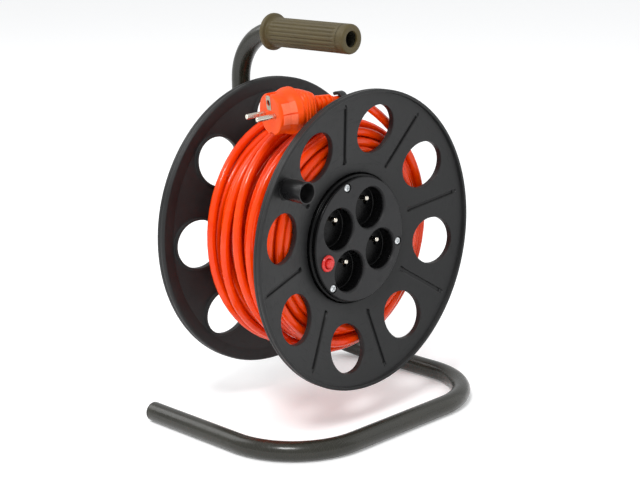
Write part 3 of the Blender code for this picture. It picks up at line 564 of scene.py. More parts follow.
ZINC = Finish(
    "bright_zinc", "zinc", (0.78, 0.79, 0.80), (0.62, 0.65, 0.66), (0.9, 0.9, 0.9),
    (0.2, 0.38), metallic=1.0, grain=700.0, tone_scale=160.0, wear=0.2, dust=0.01, scratches=0.3,
)
STEEL = Finish(
    "bright_steel", "steel", (0.52, 0.52, 0.51), (0.42, 0.41, 0.40), (0.7, 0.7, 0.7),
    (0.24, 0.42), metallic=1.0, grain=800.0, tone_scale=90.0, wear=0.2, scratches=0.3,
)
BRASS = Finish(
    "bus_brass", "brass", (0.70, 0.45, 0.16), (0.58, 0.35, 0.11), (0.85, 0.62, 0.3),
    (0.26, 0.44), metallic=1.0, grain=800.0, tone_scale=110.0, wear=0.2,
)
NYLON = Finish(
    "ivory_nylon", "nylon", (0.55, 0.52, 0.44), (0.48, 0.45, 0.37), (0.7, 0.68, 0.6),
    (0.4, 0.55), specular=0.45, grain=1200.0, grain_depth=0.00003, tone_scale=70.0, wear=0.15, dust=0.05,
)
KEPT_NODES: dict[str, Finish] = {
    "axle": STEEL, "retaining_ring": STEEL, "saddle_spacer": MATTE_BLACK, "core_barrel": MATTE_BLACK,
    "rear_bush": NYLON, "inner_bush": NYLON, "knob_stud": STEEL, "cable_gland": GLOSS_BLACK,
    "live_busbar": BRASS, "neutral_busbar": BRASS, "earth_busbar": BRASS, "terminal_block": NYLON,
    "cutout_body": GLOSS_BLACK,
}


@dataclass
class Workshop:
    """Turns meshes into finished pieces that ride on the reel's bodies.

    Attributes:
        groups: The shared shader effects.
    """

    groups: Groups = field(default_factory=Groups)

    def piece(
        self, name: str, mesh: bpy.types.Mesh, finish: Finish, *nodes: str, body: Body = Body.DRUM, slot: str = ""
    ) -> bpy.types.Object:
        """Makes one finished piece.

        Args:
            name: The piece's name.
            mesh: Its mesh, in metres of the shared frame.
            finish: Its finish.
            nodes: The CAD nodes that it stands for.
            body: The body it moves with.
            slot: The record's material slot, where it isn't the finish's own; not used.

        Returns:
            The piece's object.
        """
        mesh.name = name
        made = bpy.data.objects.new(name, mesh)
        bpy.context.collection.objects.link(made)
        mesh.materials.clear()
        mesh.materials.append(finish.material(self.groups))
        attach(made, body.value)
        slot or finish.slot
        if nodes:
            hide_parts(*nodes)
        LOG.info("%s: %d faces on %s", name, len(mesh.polygons), body.value)
        return made

    def dress(self, node: str, finish: Finish) -> None:
        """Gives a CAD node that stays as it is a finish of its own."""
        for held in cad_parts[node].material_slots:
            held.material = finish.material(self.groups)
        LOG.info("%s: keeps its shape, finished as %s", node, finish.name)


# ---- Paths and tubes ----


@dataclass
class BentPath:
    """A tube's centre line, drawn as straight runs and round bends.

    Attributes:
        place: Where the path has got to.
        heading: Unit vector along its end.
        step: Angle between stations in a bend, in degrees.
        points: The stations so far.
    """

    place: Array
    heading: Array
    step: float = 5.0
    points: list[Array] = field(default_factory=list)

    def straight(self, length: float, spans: int) -> None:
        """Runs straight on for a length."""
        self.points.append(self.place + np.linspace(0.0, length, spans + 1)[1:, None] * self.heading)
        self.place = self.place + length * self.heading

    def bend(self, radius: float, new_heading: Array) -> None:
        """Turns on an arc into a new heading: centre + R (sin s heading - cos s inward) for s up to the angle.

        Args:
            radius: The bend's radius to the centre line.
            new_heading: Unit vector that the bend ends in.
        """
        angle = math.acos(float(np.clip(self.heading @ new_heading, -1.0, 1.0)))
        inward = unit(new_heading - (new_heading @ self.heading) * self.heading)
        spans = max(2, round(math.degrees(angle) / self.step))
        s = np.linspace(0.0, angle, spans + 1)[1:, None]
        arc = self.place + radius * inward + radius * (np.sin(s) * self.heading - np.cos(s) * inward)
        self.points.append(arc)
        self.place = arc[-1]
        self.heading = new_heading


def path_tangents(path: Array) -> Array:
    """Unit tangents by central differences."""
    return unit(np.gradient(path, axis=0))


def steady_frames(path: Array) -> tuple[Array, Array]:
    """Two unit vectors across a path at each station that turn no more than the path does.

    Each station's first vector is the last one's with its part along the new tangent taken off.

    Args:
        path: The stations.

    Returns:
        The first and the second vectors.
    """
    tangents = path_tangents(path)
    first = np.empty_like(path)
    seed = np.array([0.0, 0.0, 1.0])
    for station, tangent in enumerate(tangents):
        seed = unit(seed - (seed @ tangent) * tangent)
        first[station] = seed
    return first, np.cross(tangents, first)


def tube_grid(path: Array, first: Array, second: Array, radius: float, sides: int) -> Array:
    """A tube about a path: station + r (cos a first + sin a second), as a grid of stations by sides."""
    angle = full_turn(sides)[None, :, None]
    return path[:, None] + radius * (np.cos(angle) * first[:, None] + np.sin(angle) * second[:, None])


def monotone(where: Array, x: Array, y: Array) -> Array:
    """Cubic steps between knots that never overshoot.

    Each knot's slope is the harmonic mean of the slopes on its two sides, or zero where they differ in sign, and
    each span is the Hermite cubic of its ends and their slopes.

    Args:
        where: Where values are wanted.
        x: The knots' places, rising.
        y: The knots' values.

    Returns:
        The values.
    """
    span = np.diff(x)
    slope = np.diff(y) / span
    same = slope[:-1] * slope[1:] > 0.0
    total = np.where(same, slope[:-1] + slope[1:], 1.0)
    middle = np.where(same, 2.0 * slope[:-1] * slope[1:] / total, 0.0)
    slopes = np.concatenate([slope[:1], middle, slope[-1:]])
    piece = np.clip(np.searchsorted(x, where, side="right") - 1, 0, len(span) - 1)
    t = (where - x[piece]) / span[piece]
    low, high = slopes[piece] * span[piece], slopes[piece + 1] * span[piece]
    held = y[piece] * (1 + 2 * t) * (1 - t) ** 2 + y[piece + 1] * t**2 * (3 - 2 * t)
    return held + low * t * (1 - t) ** 2 + high * t**2 * (t - 1)


# ---- Cable and plug ----


@dataclass
class Plug:
    """The moulded plug with its pins, earth contact and bend relief.

    Attributes:
        cord_end: Where the cable leaves the bend relief.
        face: The middle of the plug's face.
        body_radius: Radius of the round front part.
        collar_radius: Radius of the ring behind it.
        body_length: Length from the face to the bend relief.
        flat: Distance of the face's top and bottom flats from the middle.
        pin_radius: Radius of a pin.
        pin_length: How far a pin stands out.
        pin_offset: Distance of a pin from the middle.
        earth_rise: Height of the earth hole above the middle.
        earth_radius: Radius of the earth hole.
        pad_height: Height of a grip pad.
        pad_lows: Heights of the pads' lower edges.
        relief_inner: Radius of the bend relief's mouth.
    """

    cord_end: Triple = (-26.1, -46.7, 133.1)
    face: Triple = (-89.7, -30.5, 126.8)
    body_radius: float = 19.0
    collar_radius: float = 21.4
    body_length: float = 41.5
    flat: float = 16.4
    pin_radius: float = 2.4
    pin_length: float = 19.0
    pin_offset: float = 9.5
    earth_rise: float = 10.5
    earth_radius: float = 2.6
    pad_height: float = 8.7
    pad_lows: tuple[float, float] = (-8.1, 1.8)
    relief_inner: float = 4.2

    def axis(self) -> Axis:
        """The plug's axis from its face back to the cable, with angle zero across and a right angle up."""
        back = unit(np.array(self.cord_end) - np.array(self.face))
        return Axis(self.face, tuple(back), tuple(unit(np.cross(back, np.array([0.0, 0.0, 1.0])))))

    def length(self) -> float:
        """Distance from the face to where the cable leaves."""
        return float(np.linalg.norm(np.array(self.cord_end) - np.array(self.face)))

    def body_grid(self) -> Array:
        """The plug's body: a round profile that turns square behind the collar.

        The radius at angle a is r / (|cos a|^n + |sin a|^n)^(1/n), with n rising from 2 in front to 5 behind.
        Flats are cut at top and bottom of the face, and low ribs cross the shoulder's two sides.

        Returns:
            The grid, closed at both ends.
        """
        outline = rounded(
            [
                (0.0, 0.0), (self.body_radius, 0.0), (self.body_radius, 11.0), (self.collar_radius, 17.5),
                (self.collar_radius, 23.0), (20.2, 24.6), (18.9, 25.0), (18.6, 27.0), (17.4, 32.0), (15.4, 37.0),
                (13.4, self.body_length), (0.0, self.body_length),
            ],
            1.3, closed=False,
        )
        pieces = [outline[:1]]
        for start, end in zip(outline[:-1], outline[1:]):
            spans = max(1, int(np.linalg.norm(end - start) / 0.7))
            pieces.append(start + (end - start) * np.linspace(0.0, 1.0, spans + 1)[1:, None])
        profile = np.vstack(pieces)
        radius, back = profile[:, :1], profile[:, 1:]
        angle = full_turn(216)[None, :]
        power = 2.0 + 3.0 * smoothstep(back, 25.0, 31.0)
        square = (np.abs(np.cos(angle)) ** power + np.abs(np.sin(angle)) ** power) ** (-1.0 / power)
        shoulder = smoothstep(back, 27.0, 27.6) * (1.0 - smoothstep(back, 39.0, 39.6))
        ribs = 0.7 * smoothstep(np.cos((back - 28.4) * (2.0 * math.pi / 3.7)), 0.0, 0.35)
        side = smoothstep(np.abs(np.cos(angle)), 0.45, 0.7)
        shaped = radius * (1.0 + (square - 1.0) * 0.72) + ribs * shoulder * side * (radius > 5.0)
        across, upward = shaped * np.cos(angle), shaped * np.sin(angle)
        flat = (np.abs(across) < 3.5) & (back < 8.0) & (np.abs(upward) > self.flat)
        return self.axis().offset(across, np.where(flat, np.sign(upward) * self.flat, upward), back)

    def relief_grid(self) -> Array:
        """The bend relief: a tapered tube whose sides are cut by four slots.

        The radius falls by 2.5 over the length, and the slots are raised cosines along it on the two sides.

        Returns:
            The grid, closed at both ends.
        """
        start, end = self.body_length + 0.3, self.length() + 0.1
        back = np.linspace(start, end, 96)
        share = (back - start) / (end - start)
        radius = 9.0 - 2.5 * share - 1.6 * smoothstep(share, 0.86, 1.0)
        angle = full_turn(96)
        slots = smoothstep(np.cos(share * 2.0 * math.pi * 4.5 + math.pi), 0.0, 0.35)
        slots = slots * smoothstep(share, 0.06, 0.12) * (1.0 - smoothstep(share, 0.93, 0.97))
        side = smoothstep(np.abs(np.cos(angle)), 0.35, 0.6)
        axis, inner = self.axis(), self.relief_inner
        grid = axis.place(radius[:, None] - 2.1 * slots[:, None] * side[None, :], angle, back[:, None])
        mouth = axis.turned([(inner, end), (inner, end - 4.0), (0.0, end - 4.0)], angle)
        return np.concatenate([axis.turned([(0.0, start), (8.4, start)], angle), grid, mouth])

    def build(self, shop: Workshop) -> list[bpy.types.Object]:
        """Makes the plug's pieces.

        Args:
            shop: Where pieces are made.

        Returns:
            The pieces' objects.
        """
        bore, earth = self.earth_radius, self.axis().moved(0.0, self.earth_rise)
        hole = earth.solid([(0.0, -2.0), (bore, -2.0), (bore, 12.0), (0.0, 12.0)], 40)
        body = cut(Shell().add(self.body_grid()).mesh(), [hole])
        relief = Shell().add(self.relief_grid()).mesh()
        made = [
            shop.piece("plug_shell", body, PLUG_ORANGE, "plug_body"),
            shop.piece("plug_bend_relief", relief, PLUG_ORANGE, "plug_strain_relief"),
        ]
        tip = -self.pin_length
        profile = rounded(
            [(0.0, tip), (self.pin_radius, tip), (self.pin_radius, 2.0), (0.0, 2.0)], 1.6, closed=False, steps=8
        )
        for number, side in enumerate((-1.0, 1.0), start=1):
            pin = self.axis().moved(side * self.pin_offset, 0.0).solid(profile, 48)
            made.append(shop.piece(f"pin_{number}", pin, NICKEL, f"plug_pin_{number}"))
        made.append(shop.piece("earth_plate", self.earth_plate(), DULL_NICKEL, "plug_earth_contact"))
        # Painted shade: a gloss black solid fills the earth hole from 0.6 mm inside its mouth and stands in for the
        # dark inside of the hole, where the real contact sleeve is nickel.
        hole_shade_fill = earth.solid([(0.0, 0.6), (bore - 0.05, 0.6), (bore - 0.05, 11.5), (0.0, 11.5)], 40)
        made.append(shop.piece("earth_hole_shade_fill", hole_shade_fill, GLOSS_BLACK, slot="nickel"))
        for number, side in enumerate((0.0, math.pi), start=1):
            for row, low in enumerate(self.pad_lows, start=1):
                made.append(shop.piece(f"grip_pad_{number}_{row}", self.pad(side, low), PLUG_PAD))
        return made

    def pad(self, side: float, low: float) -> bpy.types.Mesh:
        """One raised grip pad: a thin slab bent round the body's side.

        Its section runs along the plug, (radius, place) round a bent strip, and is carried over the angles whose
        sines times the body's radius span the pad's height.

        Args:
            side: Angle of the body's side that it lies on.
            low: Height of its lower edge above the middle.

        Returns:
            The pad's mesh.
        """
        front, cone, rear = 3.4, 11.0, 16.8
        body, collar = self.body_radius, self.collar_radius
        section = rounded(
            [
                (body - 0.4, front), (body + 0.55, front), (body + 0.6, cone), (collar + 0.35, rear),
                (collar - 0.9, rear), (body - 0.4, cone),
            ],
            0.35,
        )
        height = np.linspace(low, low + self.pad_height, 25) / body
        angle = side + np.arcsin(height) * math.cos(side)
        grid = self.axis().place(section[None, :, 0], angle[:, None], section[None, :, 1])
        return Shell().add(capped(grid)).mesh()

    def earth_plate(self) -> bpy.types.Mesh:
        """The earth contact: a thin plate round the earth hole, from the hole's edge out to a rounded rectangle.

        Along each ray from the hole's middle the plate runs out to the rounded rectangle's edge, which is
        (|cos a / w|^6 + |sin a / h|^6)^(-1/6).

        Returns:
            The plate's mesh.
        """
        angle = full_turn(96)
        half_wide, half_tall, start = 3.7, 6.6, self.earth_radius + 0.1
        edge = (np.abs(np.cos(angle) / half_wide) ** 6 + np.abs(np.sin(angle) / half_tall) ** 6) ** (-1.0 / 6.0)
        share = np.array([0.0, 0.04, 0.94, 1.0, 1.0, 0.94, 0.04, 0.0])[:, None]
        depth = np.array([-0.25, -0.5, -0.5, -0.3, 0.1, 0.1, 0.1, 0.1])[:, None]
        grid = self.axis().moved(0.0, self.earth_rise).place(start + share * (edge - start), angle, depth)
        return Shell().add(grid, wrap_rows=True).mesh()


@dataclass
class Cable:
    """The 25 m of cable: three full layers, a loosely laid layer, a few loose turns and the tail to the plug.

    Attributes:
        diameter: The sheath's diameter.
        length: The real length in metres.
        layer_radii: Centre radius of each full layer.
        layer_turns: Turns in a full layer.
        half_width: How far the turns reach along the axle from the middle.
        outer_radius: Centre radius of the loosely laid outer layer.
        outer_turns: Turns in the outer layer.
        loose_radius: Centre radius of the loose turns over it.
        exit_angle: Where the cable comes out of the barrel, in degrees.
        exit_axial: The same, along the axle.
        rise: Angle in which the cable climbs from one layer to the next, in degrees.
        stations_per_turn: Stations along one turn.
        sides: Points round the sheath.
    """

    diameter: float = 8.4
    length: float = 25.0
    layer_radii: tuple[float, ...] = (74.8, 82.9, 91.0)
    layer_turns: float = 9.75
    half_width: float = 41.2
    outer_radius: float = 101.0
    outer_turns: float = 7.9
    loose_radius: float = 109.3
    exit_angle: float = -72.0
    exit_axial: float = -34.0
    rise: float = 40.0
    stations_per_turn: int = 60
    sides: int = 14

    def tail(self) -> Array:
        """The tail's route as rows of (degrees, radius, axial), from the last turn up to the plug."""
        return np.array(
            [
                (8.0, 109.9, -36.6), (19.0, 109.8, -37.8), (30.0, 109.7, -39.0), (40.0, 109.75, -40.2),
                (50.0, 111.0, -41.4), (59.5, 113.6, -42.8), (68.5, 117.2, -44.6), (77.0, 121.9, -46.9),
                (85.0, 127.8, -49.4), (92.2, 133.0, -50.1), (98.2, 135.2, -48.4), (101.1, 135.6, -46.7),
            ]
        )

    def knots(self) -> Array:
        """The whole route's knots, from the barrel to the plug.

        Returns:
            Rows of (degrees, radius, axial).
        """
        rows = [(self.exit_angle, 71.0, self.exit_axial), (self.exit_angle + 30.0, self.layer_radii[0], -38.0)]
        angle, side = self.exit_angle + 90.0, -1.0
        for radius in self.layer_radii:
            rows.append((angle, radius, side * self.half_width))
            angle += 360.0 * self.layer_turns
            side = -side
            rows.append((angle, radius, side * self.half_width))
            angle += self.rise
        rows.append((angle, self.outer_radius, side * self.half_width))
        tail = self.tail()
        turns = round((angle + self.outer_turns * 360.0 - tail[0, 0] + 1500.0) / 360.0)
        last, loose = tail[0, 0] + 360.0 * turns, self.loose_radius
        steps = [
            (-1520.0, self.outer_radius, -40.0), (-1440.0, 107.6, -35.0), (-1330.0, loose, -27.0),
            (-1150.0, loose, -12.0), (-980.0, loose, 6.0), (-800.0, loose, 22.0), (-640.0, loose, 36.0),
            (-540.0, loose, 30.0), (-420.0, 110.8, 12.0), (-330.0, 112.2, 4.0), (-275.0, 114.0, 0.0),
            (-230.0, 114.8, -4.0), (-180.0, 114.0, -12.0), (-120.0, 111.8, -24.0), (-60.0, 110.3, -33.0),
        ]
        rows.extend((last + step, radius, axial) for step, radius, axial in steps)
        rows.extend((360.0 * turns + degrees, radius, axial) for degrees, radius, axial in tail)
        return np.array(rows)

    def route(self) -> Array:
        """The centre line, evenly stepped in angle.

        Radius and axial place run between the knots by monotone cubic steps. The outer turns lean and wander by
        sines of the angle that fade out at both of their ends, and bulge a little to the left.

        Returns:
            The stations in the drum's terms.
        """
        knots = self.knots()
        degrees = np.arange(knots[0, 0], knots[-1, 0], 360.0 / self.stations_per_turn)
        degrees = np.append(degrees, knots[-1, 0])
        radius = monotone(degrees, knots[:, 0], knots[:, 1])
        axial = monotone(degrees, knots[:, 0], knots[:, 2])
        outer = smoothstep(radius, self.layer_radii[-1] + 1.0, self.outer_radius - 0.5)
        outer = outer * (1.0 - smoothstep(degrees, knots[-1, 0] - 520.0, knots[-1, 0] - 400.0))
        angle = np.radians(degrees)
        axial = axial + outer * (1.6 * np.sin(angle + 0.5) + 1.6 * np.sin(2.19 * angle + 1.1))
        radius = radius + outer * (0.4 * np.sin(3.37 * angle) - 1.6 * np.cos(angle - 0.35))
        points = np.stack([radius * np.cos(angle), axial, radius * np.sin(angle)], axis=-1)
        points[-1] = np.array(Plug().cord_end) - 2.5 * np.array(Plug().axis().along)
        return points

    def build(self, shop: Workshop, plug_pieces: list[bpy.types.Object]) -> None:
        """Args:
            shop: Where pieces are made.
            plug_pieces: The plug's pieces, which ride on the drum with the cable; not used.
        """
        path = self.route()
        tangents = path_tangents(path)
        outward = path * np.array([1.0, 0.0, 1.0])
        first = unit(outward - np.sum(outward * tangents, axis=1, keepdims=True) * tangents)
        grid = tube_grid(path, first, np.cross(tangents, first), self.diameter / 2.0, self.sides)
        mesh = Shell().add(capped(grid)).mesh()
        cable = shop.piece("wound_cable", mesh, CABLE_ORANGE, "cable_winding", "cable_tail")
        world = to_world(path)
        measured = float(np.sum(np.linalg.norm(np.diff(world, axis=0), axis=1)))
        LOG.info("wound_cable: %.2f m along its centre", measured)
        tuple(world[0])


# ---- Drum ----


class Side(Enum):
    """The two sides of the drum, by the sign of their place along the axle."""

    FRONT = -1.0
    REAR = 1.0


@dataclass
class Flange:
    """One holed flange: a dished web with eight holes and eight grooves, a stepped rim and a middle of its own.

    Attributes:
        side: Which side of the drum it closes.
        first_hole: Angle of the first hole, in degrees.
        holes: How many holes it has.
        hole_radius: Radius of a hole.
        hole_place: Distance of a hole from the axle.
        web_inner: Radius where the web starts.
        web_outer: Radius where the rim starts.
        web_start: Height of the web's face at its start.
        slope: Rise of the web per unit of radius.
        wall: Thickness of the web.
        rim_underside: Height of the rim's underside.
        lip: Radius of the rounding at a hole's edge.
        collar: Wall of the collar round a hole.
        collar_depth: How far the collar reaches in from the face.
        groove_ends: Radii of a groove's two ends.
        groove_half: Half of a groove's width.
        groove_depth: Depth of a groove.
    """

    side: Side
    first_hole: float
    holes: int = 8
    hole_radius: float = 23.25
    hole_place: float = 104.8
    web_inner: float = 65.0
    web_outer: float = 139.4
    web_start: float = 48.765
    slope: float = 0.222
    wall: float = 3.0
    rim_underside: float = 61.0
    lip: float = 0.7
    collar: float = 1.8
    collar_depth: float = 6.0
    groove_ends: tuple[float, float] = (76.0, 131.0)
    groove_half: float = 1.9
    groove_depth: float = 2.2

    def face(self, radius: Array) -> Array:
        """Height of the web's outer face: a cone, start + slope (r - inner)."""
        return self.web_start + self.slope * (radius - self.web_inner)

    def back(self, radius: Array) -> Array:
        """Height of the web's inner face: the same cone a wall lower, held at the rim's underside."""
        return np.minimum(self.face(radius) - self.wall, self.rim_underside)

    def radial_stations(self) -> Array:
        """Radii of the grid's rows, close together at the ends of the grooves."""
        low, high = self.groove_ends
        return np.concatenate(
            [
                np.linspace(self.web_inner, low - 3.0, 4), low + np.linspace(-2.0, 1.2, 11),
                np.linspace(low + 3.0, high - 3.0, 24), high + np.linspace(-1.0, 1.6, 9),
                np.linspace(high + 3.0, self.web_outer, 4),
            ]
        )

    def groove(self, radius: Array, offset: Array) -> Array:
        """Depth of a groove: a capsule between its two end radii, a little wider at its inner end.

        Args:
            radius: Distance from the axle.
            offset: Distance across the groove from its middle line.

        Returns:
            The depth, which ramps down over the groove's edge.
        """
        low, high = self.groove_ends
        beyond = np.maximum(np.maximum(low - radius, radius - high), 0.0)
        half = self.groove_half + 0.35 * np.exp(-(((radius - low) / 1.6) ** 2))
        return self.groove_depth * smoothstep(half - np.hypot(beyond, offset), -0.12, 0.25)

    def point(self, radius: Array, angle: Array, height: Array) -> Array:
        """A place on the flange: radius and angle round the axle, height measured outward."""
        return DRUM_AXIS.place(radius, angle, self.side.value * height)

    def build_web(self, shell: Shell) -> tuple[Array, Array]:
        """Adds the web: eight sectors, each a set of rings about its hole, and eight strips that hold the grooves.

        Args:
            shell: Where the surface is gathered.

        Returns:
            The angles of the web's points along its inner and its outer circle.
        """
        radii = self.radial_stations()
        half = np.array([0.0, 0.6, 1.1, 1.25, 1.4, 1.5, 1.65, 1.9, 2.6])
        offsets = np.concatenate([-half[:0:-1], half])
        strip = np.arcsin(offsets[None, :] / radii[:, None])
        spread = radii[:, None]
        step = 2.0 * math.pi / self.holes
        arc = np.linspace(0.0, 1.0, 17)
        inner_angles, outer_angles = [], []
        for number in range(self.holes):
            groove_angle = math.radians(self.first_hole) + (number - 0.5) * step
            angles = groove_angle + strip
            outside = self.face(spread) - self.groove(spread, offsets[None, :])
            shell.add(self.point(spread, angles, outside), wrap_columns=False)
            shell.add(self.point(spread, angles, self.back(spread)), wrap_columns=False)
            start, end = angles[:, -1], groove_angle + step + strip[:, 0]
            top = start[-1] + arc * (end[-1] - start[-1])
            bottom = start[0] + arc * (end[0] - start[0])
            border_radius = np.concatenate([radii, np.full(15, radii[-1]), radii[::-1], np.full(15, radii[0])])
            border_angle = np.concatenate([start, top[1:-1], end[::-1], bottom[-2:0:-1]])
            self.build_sector(shell, groove_angle + step / 2.0, border_radius, border_angle)
            inner_angles.append(np.concatenate([angles[0], bottom[1:-1]]))
            outer_angles.append(np.concatenate([angles[-1], top[1:-1]]))
        return np.concatenate(inner_angles), np.concatenate(outer_angles)

    def build_sector(self, shell: Shell, middle: float, border_radius: Array, border_angle: Array) -> None:
        """Adds one sector: each ring joins a point of its border to the hole's edge along a ray from its middle.

        Args:
            shell: Where the surface is gathered.
            middle: Angle of the hole's middle.
            border_radius: Radii of the sector's border, in order round it.
            border_angle: Angles of the same points.
        """
        centre = self.hole_place * np.array([math.cos(middle), math.sin(middle)])
        border = np.stack([border_radius * np.cos(border_angle), border_radius * np.sin(border_angle)], axis=-1)
        rays = border - centre
        reach = np.linalg.norm(rays, axis=1)
        rays = rays / reach[:, None]
        lip, collar, depth, back = self.lip, self.collar, self.collar_depth, self.wall
        turn = np.linspace(0.0, math.pi / 2.0, 6)
        walls = np.array(
            [(0.0, 2.5), (0.0, depth - 0.4), (0.12, depth - 0.12), (0.4, depth), (collar - 0.4, depth),
             (collar - 0.1, depth - 0.12), (collar, depth - 0.4), (collar, back + 0.3), (collar + 0.1, back + 0.08)]
        )
        profile = np.vstack([lip * (1.0 - np.stack([np.sin(turn), np.cos(turn)], axis=-1)), walls])
        shares = np.array([1.0, 0.97, 0.85, 0.7, 0.52, 0.34, 0.18, 0.07, 0.0])[:, None]
        outer_edge, inner_edge = self.hole_radius + lip, self.hole_radius + collar + 0.3
        distance = np.vstack(
            [
                outer_edge + shares * (reach - outer_edge),
                np.broadcast_to(self.hole_radius + profile[:, :1], (len(profile), len(reach))),
                inner_edge + shares[::-1] * (reach - inner_edge),
            ]
        )
        flat = centre + distance[..., None] * rays
        radius = np.linalg.norm(flat, axis=-1)
        height = self.face(radius)
        first, last = len(shares), len(shares) + len(profile)
        height[first:last] -= profile[:, 1:]
        height[last:] = self.back(radius[last:])
        height[-1] = self.back(border_radius)
        shell.add(self.point(radius, np.arctan2(flat[..., 1], flat[..., 0]), height))

    def rim(self) -> Array:
        """The rim's outline in (radius, height), from the web's face round to its back."""
        outer, under = self.web_outer, self.rim_underside
        corners = [
            (outer, self.face(outer)), (139.7, RIM_HEIGHT), (142.5, RIM_HEIGHT), (142.5, 66.0), (142.15, 65.6),
            (142.15, 64.6), (142.5, 64.2), (142.5, 61.9), (141.0, under), (outer, self.back(outer)),
        ]
        return rounded(corners, 0.55, closed=False)

    def middle(self) -> Array:
        """The middle's outline in (radius, height), from the web's face round to its back."""
        start, end = (self.web_inner, self.web_start), (self.web_inner, self.back(self.web_inner))
        if self.side is Side.FRONT:
            corners = [start, (62.5, 48.21), (62.5, 22.0), (0.0, 22.0), (0.0, 19.0), (65.0, 19.0), end]
        else:
            corners = [
                start, (62.5, 48.2), (52.0, 48.2), (51.4, 47.7), (50.8, 48.2), (30.0, 48.2), (21.0, 48.2),
                (19.0, 50.2), (19.0, 72.0), (14.2, 72.0), (14.2, 30.0), (19.0, 30.0), (19.0, 45.2), (62.0, 45.2),
                end,
            ]
        return rounded(corners, 0.8, closed=False)

    def mesh(self) -> bpy.types.Mesh:
        """The whole flange as one closed mesh."""
        shell = Shell()
        inner_angles, outer_angles = self.build_web(shell)
        outward = np.array([1.0, self.side.value])
        shell.add(DRUM_AXIS.turned(self.rim() * outward, outer_angles))
        shell.add(DRUM_AXIS.turned(self.middle() * outward, inner_angles))
        band = rounded([(130.2, 62.6), (130.2, 60.1), (141.0, 60.1), (142.2, 61.2), (142.2, 62.6)], 0.5)
        shell.add(DRUM_AXIS.turned(band * outward, full_turn(256)), wrap_rows=True)
        return shell.mesh()


@dataclass
class SocketPanel:
    """The round panel on the front: four sockets with earth pins, three screws and the cut-out's button.

    Attributes:
        face: Place of the panel's face along the axle.
        back: Place of the panel's inside.
        radius: The panel's radius.
        well_radius: Radius of a socket's hole.
        well_place: Distance of a socket from the axle.
        well_angles: Angles of the sockets, in degrees.
        live_offset: Distance of a live hole from the socket's middle.
        earth_offset: Distance of the earth pin from the socket's middle.
        screw_angles: Angles of the screws, in degrees.
        screw_place: Distance of a screw from the axle.
        button_angle: Angle of the button, in degrees.
        button_place: Distance of the button from the axle.
    """

    face: float = -56.5
    back: float = -54.0
    radius: float = 60.0
    well_radius: float = 20.0
    well_place: float = 31.6
    well_angles: tuple[float, ...] = (63.0, 153.0, 243.0, 333.0)
    live_offset: float = 9.5
    earth_offset: float = 10.0
    screw_angles: tuple[float, ...] = (108.0, 228.0, 348.0)
    screw_place: float = 54.5
    button_angle: float = 198.0
    button_place: float = 47.0

    def panel(self) -> bpy.types.Mesh:
        """The panel: a shallow turned cup with its holes cut and their edges bevelled.

        Returns:
            The panel's mesh.
        """
        outline = rounded(
            [
                (0.0, self.face), (58.4, self.face), (self.radius, self.face + 1.1), (self.radius, -52.2),
                (59.6, -51.9), (59.6, -51.0), (61.5, -50.4), (61.5, -44.5), (58.6, -44.5), (58.6, self.back),
                (0.0, self.back),
            ],
            0.6, closed=False,
        )
        front = self.face - 2.0
        well = [
            (0.0, front), (22.2, front), (20.9, self.face + 0.25), (20.25, self.face + 0.9),
            (self.well_radius, -55.0),
            (self.well_radius, -50.0), (0.0, -50.0),
        ]
        seat = [(0.0, front), (4.5, front), (4.5, -54.6), (0.0, -54.6)]
        port = [(0.0, front), (6.4, front), (6.4, -50.0), (0.0, -50.0)]
        holes = [axle_parallel(angle, self.well_place).solid(well, 96) for angle in self.well_angles]
        holes += [axle_parallel(angle, self.screw_place).solid(seat, 48) for angle in self.screw_angles]
        holes.append(axle_parallel(self.button_angle, self.button_place).solid(port, 64))
        return cut(DRUM_AXIS.solid(outline, 256), holes)

    def glossy_painted_shade_wall(self, mesh: bpy.types.Mesh, shop: Workshop) -> None:
        """Gives the panel's side wall, from just inside its edge, the glossy black finish, whose darker colour is
        painted shade for the wall that lies in shadow in the gap to the flange.

        Args:
            mesh: The panel's mesh.
            shop: Where finishes are made.
        """
        mesh.materials.append(GLOSS_BLACK.material(shop.groups))
        centres = np.empty(len(mesh.polygons) * 3)
        mesh.polygons.foreach_get("center", centres)
        places = centres.reshape(-1, 3) / METRE - CENTRE
        # Faces beyond this radius take the darker gloss black: painted shade on the side wall.
        side = np.hypot(places[:, 0], places[:, 2]) > self.radius - 0.9
        mesh.polygons.foreach_set("material_index", side.astype(np.int32))

    def socket(self, axis: Axis) -> bpy.types.Mesh:
        """One socket's well: a cup with two live holes and an earth hole in its floor.

        Args:
            axis: The socket's axis.

        Returns:
            The well's mesh.
        """
        outline = rounded(
            [(0.0, -41.5), (19.0, -41.5), (19.6, -42.2), (19.6, -53.7), (20.6, -53.7), (20.6, -39.5), (0.0, -39.5)],
            0.45, closed=False,
        )
        live = [(0.0, -43.0), (3.4, -42.0), (3.4, -41.45), (2.7, -40.9), (2.7, -39.0), (0.0, -39.0)]
        cutters = [axis.moved(side * self.live_offset, 0.0).solid(live, 40) for side in (-1.0, 1.0)]
        earth = [(0.0, -43.0), (2.7, -43.0), (2.7, -39.0), (0.0, -39.0)]
        cutters.append(axis.moved(0.0, self.earth_offset).solid(earth, 40))
        return cut(axis.solid(outline, 144), cutters)

    def earth_pin(self, axis: Axis) -> bpy.types.Mesh:
        """An earth pin: a round bar with a domed tip and a small shoulder at the well's floor.

        Args:
            axis: The socket's axis.

        Returns:
            The pin's mesh.
        """
        outline = rounded(
            [(0.0, -55.5), (1.5, -55.5), (2.4, -54.2), (2.4, -41.6), (2.6, -41.4), (2.6, -30.8), (0.0, -30.8)],
            0.6, closed=False, steps=6,
        )
        return axis.moved(0.0, self.earth_offset).solid(outline, 48)


